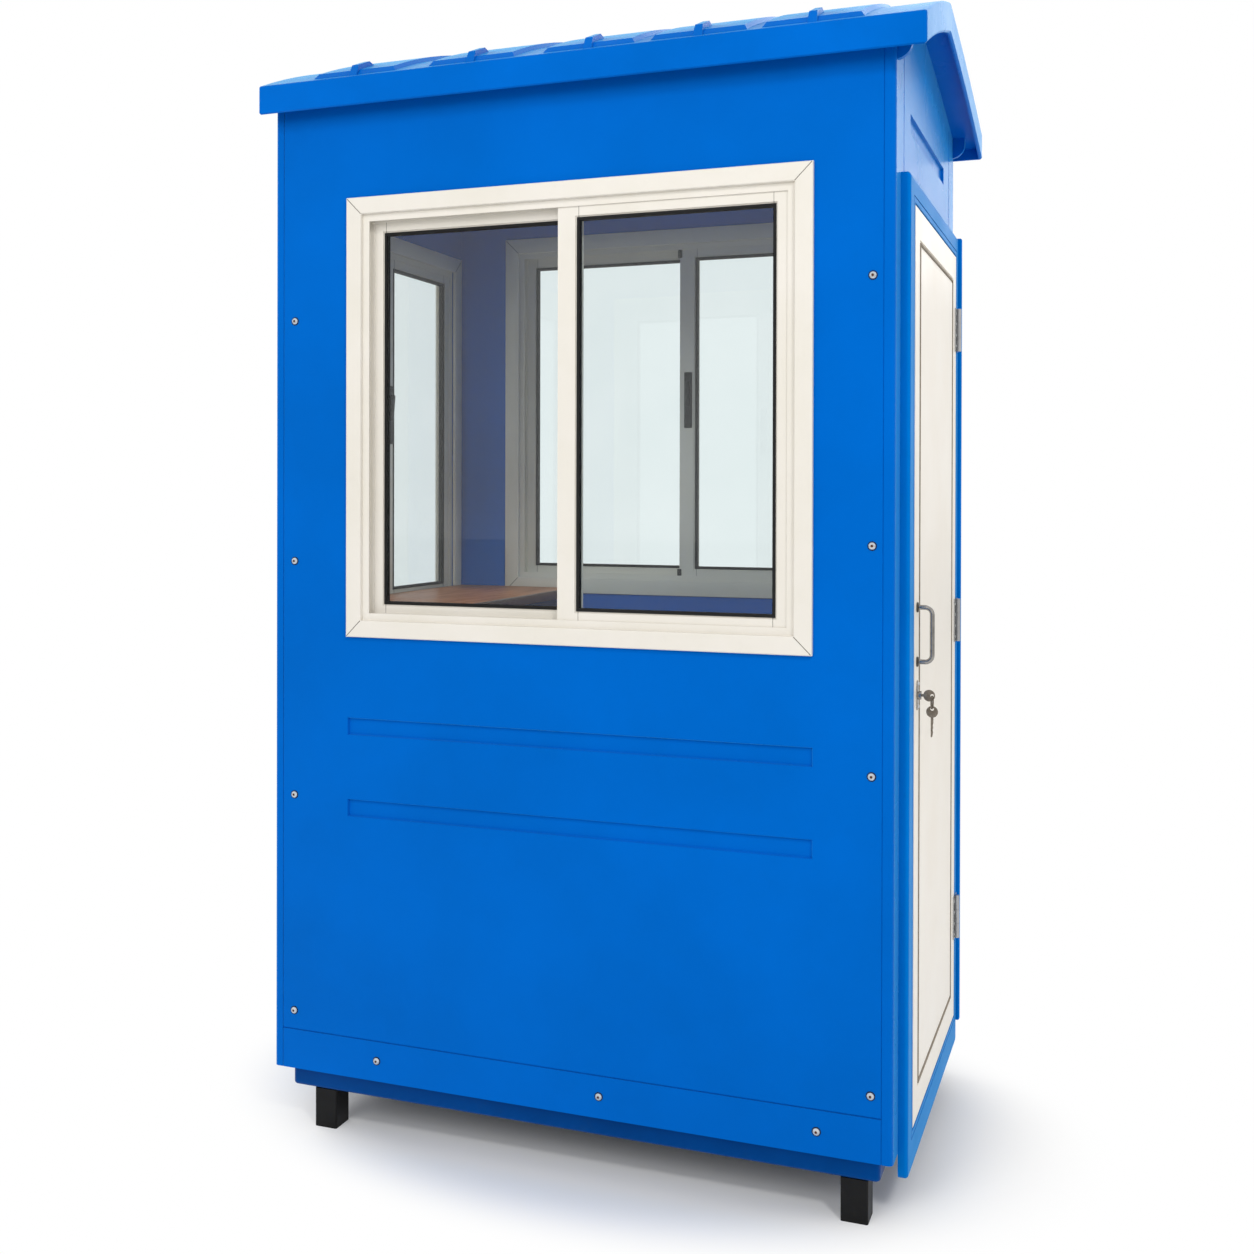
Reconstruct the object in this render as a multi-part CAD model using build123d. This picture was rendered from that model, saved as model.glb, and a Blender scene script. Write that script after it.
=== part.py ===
from build123d import *
import math
import os

# A small guard booth of moulded panels: sliding windows on three sides, a hinged door on the right.
# Origin: on the ground, under the middle of the roof's outline. X runs along the front, to the right
# as seen from outside, and Y runs from the front wall to the back wall.

# Overall sizes
BODY_WIDTH = 1420.0
BODY_DEPTH = 890.0
WALL_HEIGHT = 2221.0
WALL_THICK = 50.0
GROUND_GAP = 88.0
SKIRT_HEIGHT = 52.0
SKIRT_INSET = 30.0
SKIRT_WIDTH = 42.0
SKIRT_RADIUS = 8.0

# Corner trims
TRIM_FACE = 22.0
TRIM_RADIUS = 10.0
PANEL_CHAMFER = 2.0
POST_LINE = 98.0
POST_GROOVE = 3.0

# Floor and ceiling
FLOOR_THICK = 22.0
CEILING_THICK = 12.0
CEILING_DROP = 60.0

# Legs
LEG_SIZE = 56.0
LEG_WALL = 4.0
LEG_RADIUS = 4.0
LEG_FROM_LEFT = 88.0
LEG_FROM_RIGHT = 54.0
LEG_FROM_FACE = 32.0

# Roof
ROOF_OVER_LEFT = 15.0
ROOF_OVER_RIGHT = 66.0
ROOF_OVER_EAVE = 46.0
ROOF_RIM = 65.0
ROOF_RIM_THICK = 8.0
ROOF_SLAB = 38.0
ROOF_SKIN = 8.0
ROOF_RISE = 130.0
ROOF_CROWN = 9.0
ROOF_LAP = 45.0
ROOF_EDGE_RADIUS = 5.0
RIM_CHAMFER = 4.0
RIDGE_SHIFT = -140.0
RIDGE_RADIUS = 60.0
RIB_PLACES = (0.16, 0.352, 0.533, 0.693, 0.85)
RIB_WIDTH = 205.637
RIB_HEIGHT = 9.0
RIB_CHAMFER = 8.0
RIB_INSET = 16.0
LUG_WIDTH = 21.0
LUG_TOP_WIDTH = 14.0
LUG_HEIGHT = 21.0
LUG_LENGTH = 112.0
LUG_EAVE_SLOPE = 21.0
LUG_INNER_SLOPE = 42.0
LUG_ROOT = 4.0
BRACKET_REACH = 30.0
BRACKET_DROP = 50.0
BRACKET_THICK = 12.0

# Recessed bands and the kick line
BAND_HEIGHT = 43.0
BAND_DEPTH = 7.0
BAND_LENGTH = 1070.0
BAND_SLOPE = 4.0
BAND_LOW_UNDER = 587.0
BAND_HIGH_UNDER = 771.0
DOOR_BAND_LENGTH = 520.0
DOOR_BAND_START = 180.0
DOOR_BAND_UNDER = 2066.0
KICK_HEIGHT = 90.0
KICK_GROOVE = 3.0

# Windows
CASING_FACE = 38.0
CASING_PROUD = 10.0
CASING_RADIUS = 3.0
MITRE_GROOVE = 1.2
FRONT_WINDOW_LEFT = 192.0
FRONT_WINDOW_WIDTH = 1066.0
FRONT_WINDOW_HEIGHT = 986.0
FRONT_WINDOW_SILL = 995.0
BACK_WINDOW_LEFT = 192.0
BACK_WINDOW_SILL = 1045.0
SIDE_WINDOW_FROM_FRONT = 62.0
SIDE_WINDOW_WIDTH = 766.0
TRACK_BASE = 6.0
TRACK_LIP = 3.0
TRACK_LIP_HEIGHT = 10.0
SASH_THICK = 18.0
SASH_CLEARANCE = 1.0
SASH_STILE = 38.0
SASH_MEETING = 48.0
SASH_RAIL = 34.0
SASH_LIFT = 4.0
SASH_OVERLAP = 44.0
SASH_SIDE_GAP = 1.0
BEAD_WIDTH = 8.0
BEAD_STEP = 3.0
GLASS_THICK = 5.0
GLASS_SEAT = 8.0

# Door frame and door
FRAME_START = 60.0
FRAME_WIDTH = 772.0
FRAME_TOP = 1960.0
FRAME_PROUD = 20.0
FRAME_LAP = 16.0
JAMB_FRONT = 58.0
JAMB_BACK = 42.0
FRAME_HEAD = 50.0
FRAME_SILL = 75.0
FRAME_RADIUS = 8.0
FRAME_FOOT_RADIUS = 14.0
FRAME_LINE_IN = 13.0
FRAME_LINE = 3.0
STOP_WIDTH = 15.0
DOOR_THICK = 35.0
DOOR_GAP = 5.0
DOOR_FREE_GAP = 7.0
PANEL_IN = 60.0
PANEL_GROOVE = 14.0
PANEL_GROOVE_DEPTH = 4.0
HINGE_STRIP_WIDTH = 14.0
HINGE_STRIP_PROUD = 28.0

# Hinges
HINGE_HEIGHTS = (274.0, 1009.0, 1725.0)
HINGE_LENGTH = 105.0
HINGE_PLATE = 2.5
HINGE_PLATE_WIDTH = 26.0
KNUCKLE_RADIUS = 6.0
PIN_RADIUS = 3.0
PIN_GAP = 0.05
KNUCKLE_GAP = 0.5
KNUCKLE_OUT = 1.0

# Pull handle and lock
HANDLE_CENTRE = 1030.0
HANDLE_SPAN = 112.0
HANDLE_RADIUS = 5.0
HANDLE_PROUD = 36.0
HANDLE_FROM_EDGE = 34.0
HANDLE_BEND = 8.0
HANDLE_FOOT_RADIUS = 11.0
HANDLE_FOOT_THICK = 5.0
LOCK_CENTRE = 905.0
LOCK_PLATE_WIDTH = 34.0
LOCK_PLATE_HEIGHT = 62.0
LOCK_PLATE_THICK = 3.0
CYLINDER_RADIUS = 9.0
CYLINDER_PROUD = 6.0
KEY_THICK = 2.4
KEY_BOW_RADIUS = 10.0
KEY_HOLE_RADIUS = 3.5
KEY_SIDES = 16
RING_RADIUS = 13.0
RING_BAND = 2.0
RING_THICK = 1.6

# Desk
DESK_DEPTH = 350.0
DESK_THICK = 25.0
DESK_TOP = 1060.0

# Places worked out from the sizes
ROOF_LENGTH = BODY_WIDTH + ROOF_OVER_LEFT + ROOF_OVER_RIGHT
X_LEFT = ROOF_OVER_LEFT - ROOF_LENGTH / 2
X_RIGHT = X_LEFT + BODY_WIDTH
Y_FRONT = -BODY_DEPTH / 2
Y_BACK = BODY_DEPTH / 2
Z_WALL = GROUND_GAP + SKIRT_HEIGHT
Z_WALL_TOP = Z_WALL + WALL_HEIGHT
Z_RIM = Z_WALL_TOP - ROOF_LAP
Z_EAVE = Z_RIM + ROOF_RIM
X_FRAME = X_RIGHT + FRAME_PROUD
Y_OPENING_FRONT = Y_FRONT + FRAME_START + JAMB_FRONT
Y_OPENING_BACK = Y_FRONT + FRAME_START + FRAME_WIDTH - JAMB_BACK
Z_OPENING = GROUND_GAP + FRAME_SILL
Z_OPENING_TOP = Z_WALL + FRAME_TOP - FRAME_HEAD
X_AXIS = X_FRAME + KNUCKLE_RADIUS + KNUCKLE_OUT
Y_AXIS = Y_OPENING_BACK - DOOR_GAP / 2
Y_DOOR_FREE = Y_OPENING_FRONT + DOOR_FREE_GAP
Y_DOOR_HINGED = Y_OPENING_BACK - DOOR_GAP
TRACK_CHANNEL = SASH_THICK + SASH_CLEARANCE
TRACK_DEPTH = 3 * TRACK_LIP + 2 * TRACK_CHANNEL


def block(x0, x1, y0, y1, z0, z1):
    """A box between two corners."""
    size = Box(x1 - x0, y1 - y0, z1 - z0)
    return Pos((x0 + x1) / 2, (y0 + y1) / 2, (z0 + z1) / 2) * size


def save(name, shape):
    export_step(shape, f"parts/{name}.step")


# Walls

def kick_line(x0, x1, y0, y1):
    """The shallow groove that runs round the walls above their foot."""
    z = Z_WALL + KICK_HEIGHT
    return block(x0, x1, y0, y1, z - KICK_GROOVE / 2, z + KICK_GROOVE / 2)


def band(length):
    """A shallow pocket with sloping sides, centred on the origin and cut into +Y."""
    ends = []
    for y, share in ((-BAND_DEPTH, 2), (BAND_DEPTH, 0)):
        plane = Plane((0, y, 0), x_dir=(1, 0, 0), z_dir=(0, 1, 0))
        grow = share * BAND_SLOPE - BAND_SLOPE
        ends.append(plane * Rectangle(length + grow - BAND_SLOPE, BAND_HEIGHT + grow - BAND_SLOPE))
    return loft(ends)


def long_wall(y_out, y_in, window_left, window_sill):
    """Front or back wall: bands and a kick line outside, and an opening for its window."""
    wall = block(X_LEFT + TRIM_FACE, X_RIGHT - TRIM_FACE, min(y_out, y_in), max(y_out, y_in),
                 Z_WALL, Z_WALL_TOP)
    upright = wall.edges().filter_by(Axis.Z)
    wall = chamfer([edge for edge in upright if edge.center().Y == y_out], PANEL_CHAMFER)
    wall -= window_opening(window_left, FRONT_WINDOW_WIDTH, window_sill, y_out, y_in)
    middle = X_LEFT + window_left + FRONT_WINDOW_WIDTH / 2
    turn = 0 if y_in > y_out else 180
    for under in (BAND_LOW_UNDER, BAND_HIGH_UNDER):
        place = Pos(middle, y_out, Z_WALL + under + BAND_HEIGHT / 2) * Rot(0, 0, turn)
        wall -= place * band(BAND_LENGTH)
    low, high = sorted((y_out, y_out + math.copysign(KICK_GROOVE, y_in - y_out)))
    return wall - kick_line(X_LEFT, X_RIGHT, low, high)


def window_opening(left, width, sill, y_out, y_in):
    low, high = sorted((y_out, y_in))
    return block(X_LEFT + left + CASING_FACE, X_LEFT + left + width - CASING_FACE, low, high,
                 Z_WALL + sill + CASING_FACE, Z_WALL + sill + FRONT_WINDOW_HEIGHT - CASING_FACE)


def left_wall():
    wall = block(X_LEFT, X_LEFT + WALL_THICK, Y_FRONT + WALL_THICK, Y_BACK - WALL_THICK,
                 Z_WALL, Z_WALL_TOP)
    y0 = Y_FRONT + SIDE_WINDOW_FROM_FRONT + CASING_FACE
    y1 = y0 + SIDE_WINDOW_WIDTH - 2 * CASING_FACE
    wall -= block(X_LEFT, X_LEFT + WALL_THICK, y0, y1, Z_WALL + FRONT_WINDOW_SILL + CASING_FACE,
                  Z_WALL + FRONT_WINDOW_SILL + FRONT_WINDOW_HEIGHT - CASING_FACE)
    for under in (BAND_LOW_UNDER, BAND_HIGH_UNDER):
        place = Pos(X_LEFT, (y0 + y1) / 2, Z_WALL + under + BAND_HEIGHT / 2) * Rot(0, 0, -90)
        wall -= place * band(SIDE_WINDOW_WIDTH)
    return wall - kick_line(X_LEFT, X_LEFT + KICK_GROOVE, Y_FRONT, Y_BACK)


def right_wall_parts():
    """The right wall is split beside and over the doorway."""
    y_front = Y_FRONT + WALL_THICK
    y_rough_front = Y_FRONT + FRAME_START + FRAME_LAP
    y_rough_back = Y_FRONT + FRAME_START + FRAME_WIDTH - FRAME_LAP
    y_back = Y_BACK - WALL_THICK
    z_rough = Z_WALL + FRAME_TOP - FRAME_LAP
    x_in = X_RIGHT - WALL_THICK
    before = block(x_in, X_RIGHT, y_front, y_rough_front, Z_WALL, Z_WALL_TOP)
    behind = block(x_in, X_RIGHT, y_rough_back, y_back, Z_WALL, Z_WALL_TOP)
    over = block(x_in, X_RIGHT, y_rough_front, y_rough_back, z_rough, Z_WALL_TOP)
    y_band = Y_FRONT + DOOR_BAND_START + DOOR_BAND_LENGTH / 2
    z_band = Z_WALL + DOOR_BAND_UNDER + BAND_HEIGHT / 2
    over -= Pos(X_RIGHT, y_band, z_band) * Rot(0, 0, 90) * band(DOOR_BAND_LENGTH)
    side = POST_GROOVE * math.sqrt(2)
    for y in (Y_FRONT + POST_LINE, Y_BACK - POST_LINE):
        over -= Pos(X_RIGHT, y, Z_WALL_TOP) * Rot(0, 0, 45) * Box(side, side, WALL_HEIGHT)
    return before, behind, over


def corner_trim(x_out, y_out):
    """A post that fills one corner, with its outer edge rounded."""
    x_in = x_out + math.copysign(TRIM_FACE, -x_out)
    y_in = y_out + math.copysign(WALL_THICK, -y_out)
    post = block(min(x_out, x_in), max(x_out, x_in), min(y_out, y_in), max(y_out, y_in),
                 Z_WALL, Z_WALL_TOP)
    upright = post.edges().filter_by(Axis.Z)
    outer = upright.sort_by(lambda edge: -abs(edge.center().X) - abs(edge.center().Y))[0]
    return fillet(outer, TRIM_RADIUS)


# Base

def base_skirt():
    outer = block(X_LEFT + SKIRT_INSET, X_RIGHT - SKIRT_INSET, Y_FRONT + SKIRT_INSET,
                  Y_BACK - SKIRT_INSET, GROUND_GAP, Z_WALL)
    outer = fillet(outer.edges().filter_by(Axis.Z), TRIM_RADIUS)
    outer = fillet(outer.faces().sort_by(Axis.Z)[0].edges(), SKIRT_RADIUS)
    inset = SKIRT_INSET + SKIRT_WIDTH
    return outer - block(X_LEFT + inset, X_RIGHT - inset, Y_FRONT + inset, Y_BACK - inset,
                         GROUND_GAP, Z_WALL)


def floor_panel():
    return block(X_LEFT + WALL_THICK, X_RIGHT - WALL_THICK, Y_FRONT + WALL_THICK,
                 Y_BACK - WALL_THICK, Z_WALL, Z_WALL + FLOOR_THICK)


def leg(x_centre, y_centre):
    tube = Box(LEG_SIZE, LEG_SIZE, GROUND_GAP)
    tube = fillet(tube.edges().filter_by(Axis.Z), LEG_RADIUS)
    hollow = Box(LEG_SIZE - 2 * LEG_WALL, LEG_SIZE - 2 * LEG_WALL, GROUND_GAP)
    tube -= Pos(0, 0, LEG_WALL) * hollow
    return Pos(x_centre, y_centre, GROUND_GAP / 2) * tube


def legs():
    half = LEG_SIZE / 2
    x_places = (X_LEFT + LEG_FROM_LEFT + half, X_RIGHT - LEG_FROM_RIGHT - half)
    y_places = (Y_FRONT + LEG_FROM_FACE + half, Y_BACK - LEG_FROM_FACE - half)
    return [leg(x, y) for x in x_places for y in y_places]


# Roof

def roof_points(drop):
    """Front eave, front slope, ridge, back slope and back eave of the roof's line, dropped."""
    eave_front = Y_FRONT - ROOF_OVER_EAVE
    eave_back = Y_BACK + ROOF_OVER_EAVE
    ridge = Z_EAVE + ROOF_RISE - drop
    eave = Z_EAVE - drop
    middle = (ridge + eave) / 2 + ROOF_CROWN
    return [Vector(0, eave_front, eave), Vector(0, (eave_front + RIDGE_SHIFT) / 2, middle),
            Vector(0, RIDGE_SHIFT, ridge), Vector(0, (eave_back + RIDGE_SHIFT) / 2, middle),
            Vector(0, eave_back, eave)]


def roof_height(inset, side):
    """Height of the roof's line at a distance in from the front (-1) or the back (1) eave."""
    run = BODY_DEPTH / 2 + ROOF_OVER_EAVE - side * RIDGE_SHIFT
    share = inset / run
    return Z_EAVE + ROOF_RISE * share + 4 * ROOF_CROWN * share * (1 - share)


def under_roof(drop, x0, x1):
    """Everything under the dropped roof line between two places along the roof."""
    places = roof_points(drop)
    z_low = Z_RIM - 2 * ROOF_RIM
    edges = [ThreePointArc(*places[:3]), ThreePointArc(*places[2:])]
    ends = [places[4], Vector(0, places[4].Y, z_low), Vector(0, places[0].Y, z_low), places[0]]
    edges += [Line(a, b) for a, b in zip(ends, ends[1:])]
    outline = make_face(edges)
    outline = fillet(outline.vertices().sort_by(Axis.Z)[-1], RIDGE_RADIUS)
    return Pos(x0, 0, 0) * extrude(outline, x1 - x0, dir=(1, 0, 0))


def roof_prism(drop):
    return under_roof(drop, X_LEFT - ROOF_OVER_LEFT, X_RIGHT + ROOF_OVER_RIGHT)


def roof_inset(inset):
    """A tall block inset from the roof's outline all round."""
    return block(X_LEFT - ROOF_OVER_LEFT + inset, X_RIGHT + ROOF_OVER_RIGHT - inset,
                 Y_FRONT - ROOF_OVER_EAVE + inset, Y_BACK + ROOF_OVER_EAVE - inset,
                 Z_RIM - 2 * ROOF_RIM, Z_EAVE + 2 * ROOF_RISE)


def over_plan(x0, x1, y_in, z_low):
    """The room over part of the walls' outline, from a level up past the ridge."""
    return block(x0, x1, Y_FRONT + y_in, Y_BACK - y_in, z_low, Z_EAVE + 2 * ROOF_RISE)


def roof_rib(x):
    """A low raised panel from eave to eave, with sloping sides and ends."""
    half = RIB_WIDTH / 2
    reach = BODY_DEPTH / 2 + ROOF_OVER_EAVE - RIB_INSET
    rib = under_roof(-RIB_HEIGHT, x - half, x + half)
    rib &= block(x - half, x + half, -reach, reach, Z_EAVE - ROOF_SKIN, Z_EAVE + 2 * ROOF_RISE)
    sides = rib.edges().filter_by(GeomType.CIRCLE)
    ends = rib.edges().filter_by(Axis.X).filter_by(lambda edge: edge.center().Z > Z_EAVE)
    ends = [edge for edge in ends if abs(edge.center().Y) > reach - 1]
    return chamfer(sides + ShapeList(ends), RIB_CHAMFER)


def roof_lug(x, side):
    """A narrow lug at the front (-1) or the back (1) eave, with a sloping face at each end."""
    eave = side * (BODY_DEPTH / 2 + ROOF_OVER_EAVE)
    outline = [(ROOF_EDGE_RADIUS, -LUG_ROOT), (LUG_EAVE_SLOPE, LUG_HEIGHT),
               (LUG_LENGTH - LUG_INNER_SLOPE, LUG_HEIGHT), (LUG_LENGTH, -LUG_ROOT)]
    places = [(0, eave - side * inset, roof_height(inset, side) + over) for inset, over in outline]
    along = extrude(make_face(Polyline(*places, close=True)), LUG_WIDTH / 2, dir=(1, 0, 0),
                    both=True)
    low, high = Z_EAVE - ROOF_SKIN, max(place[2] for place in places)
    ends = [(-LUG_WIDTH / 2, 0, low), (LUG_WIDTH / 2, 0, low), (LUG_TOP_WIDTH / 2, 0, high),
            (-LUG_TOP_WIDTH / 2, 0, high)]
    across = extrude(make_face(Polyline(*ends, close=True)), BODY_DEPTH, dir=(0, 1, 0), both=True)
    return Pos(x, 0, 0) * (along & across)


def verge_bracket(y):
    """A small curved bracket between the right wall and the overhang."""
    z_top = Z_WALL_TOP + ROOF_SKIN
    z_low = Z_WALL_TOP - BRACKET_DROP
    corner = Vector(X_RIGHT, y, z_top)
    tip = Vector(X_RIGHT + BRACKET_REACH, y, z_top - BRACKET_DROP / 2)
    foot = Vector(X_RIGHT, y, z_low)
    middle = Vector(X_RIGHT + 0.7 * BRACKET_REACH, y, z_low + 0.2 * BRACKET_DROP)
    edges = [Line(corner, Vector(tip.X, y, z_top)), Line(Vector(tip.X, y, z_top), tip),
             ThreePointArc(tip, middle, foot), Line(foot, corner)]
    return extrude(make_face(edges), BRACKET_THICK, dir=(0, math.copysign(1, -y), 0))


def roof_shell():
    """A lid: a skin over the room, a thick overhang and a thin rim that hangs all round."""
    outer = roof_prism(0)
    shell = fillet(outer.edges().filter_by(lambda edge: edge.bounding_box().max.Z > Z_RIM),
                   ROOF_EDGE_RADIUS)
    shell -= roof_prism(ROOF_RIM)
    under = shell.edges().filter_by(lambda edge: edge.bounding_box().max.Z < Z_RIM + 1)
    shell = chamfer(under.filter_by(Axis.X), RIM_CHAMFER)
    for share in RIB_PLACES:
        x = X_LEFT - ROOF_OVER_LEFT + share * ROOF_LENGTH
        shell += roof_rib(x) - roof_prism(ROOF_SKIN / 2)
        for side in (-1, 1):
            shell += roof_lug(x, side)
    shell -= roof_prism(ROOF_SLAB) & roof_inset(ROOF_RIM_THICK)
    bearing = over_plan(X_LEFT, X_RIGHT, 0, Z_WALL_TOP) & roof_prism(ROOF_SLAB - ROOF_SKIN)
    shell += bearing - over_plan(X_LEFT, X_RIGHT, WALL_THICK, Z_WALL_TOP)
    room = over_plan(X_LEFT, X_RIGHT, WALL_THICK, Z_WALL)
    room += over_plan(X_LEFT, X_LEFT + WALL_THICK, 0, Z_WALL)
    room += over_plan(X_RIGHT - WALL_THICK, X_RIGHT, 0, Z_WALL)
    shell -= room & roof_prism(ROOF_SKIN)
    shell -= block(X_LEFT, X_RIGHT, Y_FRONT, Y_BACK, Z_WALL, Z_WALL_TOP)
    for y in (Y_FRONT + TRIM_RADIUS, Y_BACK - TRIM_RADIUS):
        shell += verge_bracket(y)
    return shell


def gable(x0, x1):
    return roof_prism(ROOF_SKIN) & over_plan(x0, x1, 0, Z_WALL_TOP)


def ceiling():
    z = Z_WALL_TOP - CEILING_DROP
    return block(X_LEFT + WALL_THICK, X_RIGHT - WALL_THICK, Y_FRONT + WALL_THICK,
                 Y_BACK - WALL_THICK, z, z + CEILING_THICK)


# Windows, each made with its outer face on the plane Y = 0 and its left lower corner at the origin

def frame_ring(x0, x1, z0, z1, y0, y1, left, right, bottom, top):
    ring = block(x0, x1, y0, y1, z0, z1)
    return ring - block(x0 + left, x1 - right, y0, y1, z0 + bottom, z1 - top)


def window_casing(width, height):
    """Four mitred lengths round the opening."""
    face = CASING_FACE
    ring = frame_ring(0, width, 0, height, -CASING_PROUD, 0, face, face, face, face)
    rim = ring.faces().filter_by(Axis.Y).sort_by(Axis.Y)[0]
    ring = fillet(rim.edges(), CASING_RADIUS)
    for x, z, turn in ((0, 0, -45), (width, 0, 45), (width, height, -45), (0, height, 45)):
        mitre = Box(3 * face, MITRE_GROOVE, MITRE_GROOVE)
        ring -= Pos(x, MITRE_GROOVE / 2 - CASING_PROUD, z) * Rot(0, turn, 0) * mitre
    return ring


def window_tracks(width, height):
    """The box frame in the wall, with three lips that make two channels."""
    x0, x1 = CASING_FACE, width - CASING_FACE
    z0, z1 = CASING_FACE, height - CASING_FACE
    tracks = frame_ring(x0, x1, z0, z1, 0, TRACK_DEPTH, *(TRACK_BASE,) * 4)
    reach = TRACK_BASE + TRACK_LIP_HEIGHT
    for number in range(3):
        y = number * (TRACK_LIP + TRACK_CHANNEL)
        tracks += frame_ring(x0, x1, z0, z1, y, y + TRACK_LIP, *(reach,) * 4)
    return tracks


def sash_place(width, height, channel):
    """The sash's box: x0, x1, z0, z1, y0, y1."""
    clear = CASING_FACE + TRACK_BASE + SASH_SIDE_GAP
    sash_width = (width - 2 * clear + SASH_OVERLAP) / 2
    z0 = CASING_FACE + TRACK_BASE
    z1 = height - CASING_FACE - TRACK_BASE - SASH_LIFT
    y0 = TRACK_LIP + channel * (TRACK_LIP + TRACK_CHANNEL) + (TRACK_CHANNEL - SASH_THICK) / 2
    x0 = clear if channel == 1 else width - clear - sash_width
    return x0, x0 + sash_width, z0, z1, y0, y0 + SASH_THICK


def window_sash(width, height, channel):
    """Channel 0 is the outer one and holds the right sash; channel 1 holds the left one."""
    x0, x1, z0, z1, y0, y1 = sash_place(width, height, channel)
    left = SASH_STILE if channel == 1 else SASH_MEETING
    right = SASH_MEETING if channel == 1 else SASH_STILE
    sash = frame_ring(x0, x1, z0, z1, y0, y1, left, right, SASH_RAIL, SASH_RAIL)
    for y in (y0, y1 - BEAD_STEP):
        sash -= block(x0 + left - BEAD_WIDTH, x1 - right + BEAD_WIDTH, y, y + BEAD_STEP,
                      z0 + SASH_RAIL - BEAD_WIDTH, z1 - SASH_RAIL + BEAD_WIDTH)
    return sash - window_pane(width, height, channel)


def window_pane(width, height, channel):
    x0, x1, z0, z1, y0, y1 = sash_place(width, height, channel)
    left = SASH_STILE if channel == 1 else SASH_MEETING
    right = SASH_MEETING if channel == 1 else SASH_STILE
    middle = (y0 + y1) / 2
    return block(x0 + left - GLASS_SEAT, x1 - right + GLASS_SEAT, middle - GLASS_THICK / 2,
                 middle + GLASS_THICK / 2, z0 + SASH_RAIL - GLASS_SEAT,
                 z1 - SASH_RAIL + GLASS_SEAT)


def save_window(name, width, height, place):
    save(f"{name}_window_casing", place * window_casing(width, height))
    save(f"{name}_window_tracks", place * window_tracks(width, height))
    for channel, side in enumerate(("outer", "inner")):
        save(f"{name}_window_{side}_sash", place * window_sash(width, height, channel))
    panes = [place * window_pane(width, height, channel) for channel in (0, 1)]
    save(f"{name}_window_glass", Compound(children=panes))


# Door frame and door

def door_frame():
    """A moulded ring that laps on the wall, with a stop behind the door."""
    y0 = Y_FRONT + FRAME_START
    y1 = y0 + FRAME_WIDTH
    flange = block(X_RIGHT, X_FRAME, y0, y1, GROUND_GAP, Z_WALL + FRAME_TOP)
    feet = flange.edges().filter_by(Axis.X).group_by(Axis.Z)[0]
    flange = fillet(feet, FRAME_FOOT_RADIUS)
    rounded = flange.faces().sort_by(Axis.X)[-1].edges()
    flange = fillet(rounded, FRAME_RADIUS)
    body = block(X_RIGHT - WALL_THICK, X_RIGHT, y0 + FRAME_LAP, y1 - FRAME_LAP, Z_WALL,
                 Z_WALL + FRAME_TOP - FRAME_LAP)
    frame = flange + body
    frame -= block(X_RIGHT - WALL_THICK, X_FRAME, Y_OPENING_FRONT, Y_OPENING_BACK, Z_OPENING,
                   Z_OPENING_TOP)
    frame -= face_ring(Y_OPENING_FRONT - FRAME_LINE_IN, Y_OPENING_BACK + FRAME_LINE_IN,
                       Z_OPENING - FRAME_LINE_IN, Z_OPENING_TOP + FRAME_LINE_IN, FRAME_LINE,
                       FRAME_LINE)
    x_stop = X_FRAME - DOOR_THICK - DOOR_GAP
    stop = block(X_RIGHT - WALL_THICK, x_stop, Y_OPENING_FRONT, Y_OPENING_BACK, Z_OPENING,
                 Z_OPENING_TOP)
    stop -= block(X_RIGHT - WALL_THICK, x_stop, Y_OPENING_FRONT + STOP_WIDTH,
                  Y_OPENING_BACK - STOP_WIDTH, Z_OPENING, Z_OPENING_TOP - STOP_WIDTH)
    return frame + stop


def hinge_strip():
    y0 = Y_FRONT + FRAME_START + FRAME_WIDTH
    strip = block(X_RIGHT, X_RIGHT + HINGE_STRIP_PROUD, y0, y0 + HINGE_STRIP_WIDTH,
                  Z_WALL, Z_WALL + FRAME_TOP)
    return fillet(strip.faces().sort_by(Axis.X)[-1].edges(), FRAME_RADIUS / 2)


def face_ring(y0, y1, z0, z1, width, depth):
    """A rectangular ring cut into the outer face of the door or its frame."""
    ring = block(X_FRAME - depth, X_FRAME, y0, y1, z0, z1)
    return ring - block(X_FRAME - depth, X_FRAME, y0 + width, y1 - width, z0 + width, z1 - width)


def door_leaf():
    """A flush leaf with a moulded panel line, drawn by a stepped groove."""
    z0, z1 = Z_OPENING + DOOR_GAP, Z_OPENING_TOP - DOOR_GAP
    leaf = block(X_FRAME - DOOR_THICK, X_FRAME, Y_DOOR_FREE, Y_DOOR_HINGED, z0, z1)
    for inset, width, depth in ((PANEL_IN, PANEL_GROOVE, PANEL_GROOVE_DEPTH / 2),
                                (PANEL_IN + PANEL_GROOVE / 3, PANEL_GROOVE / 3,
                                 PANEL_GROOVE_DEPTH)):
        leaf -= face_ring(Y_DOOR_FREE + inset, Y_DOOR_HINGED - inset, z0 + inset, z1 - inset,
                          width, depth)
    return leaf


def cylinder_z(radius, z0, z1):
    return Pos(X_AXIS, Y_AXIS, (z0 + z1) / 2) * Cylinder(radius, z1 - z0)


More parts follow.
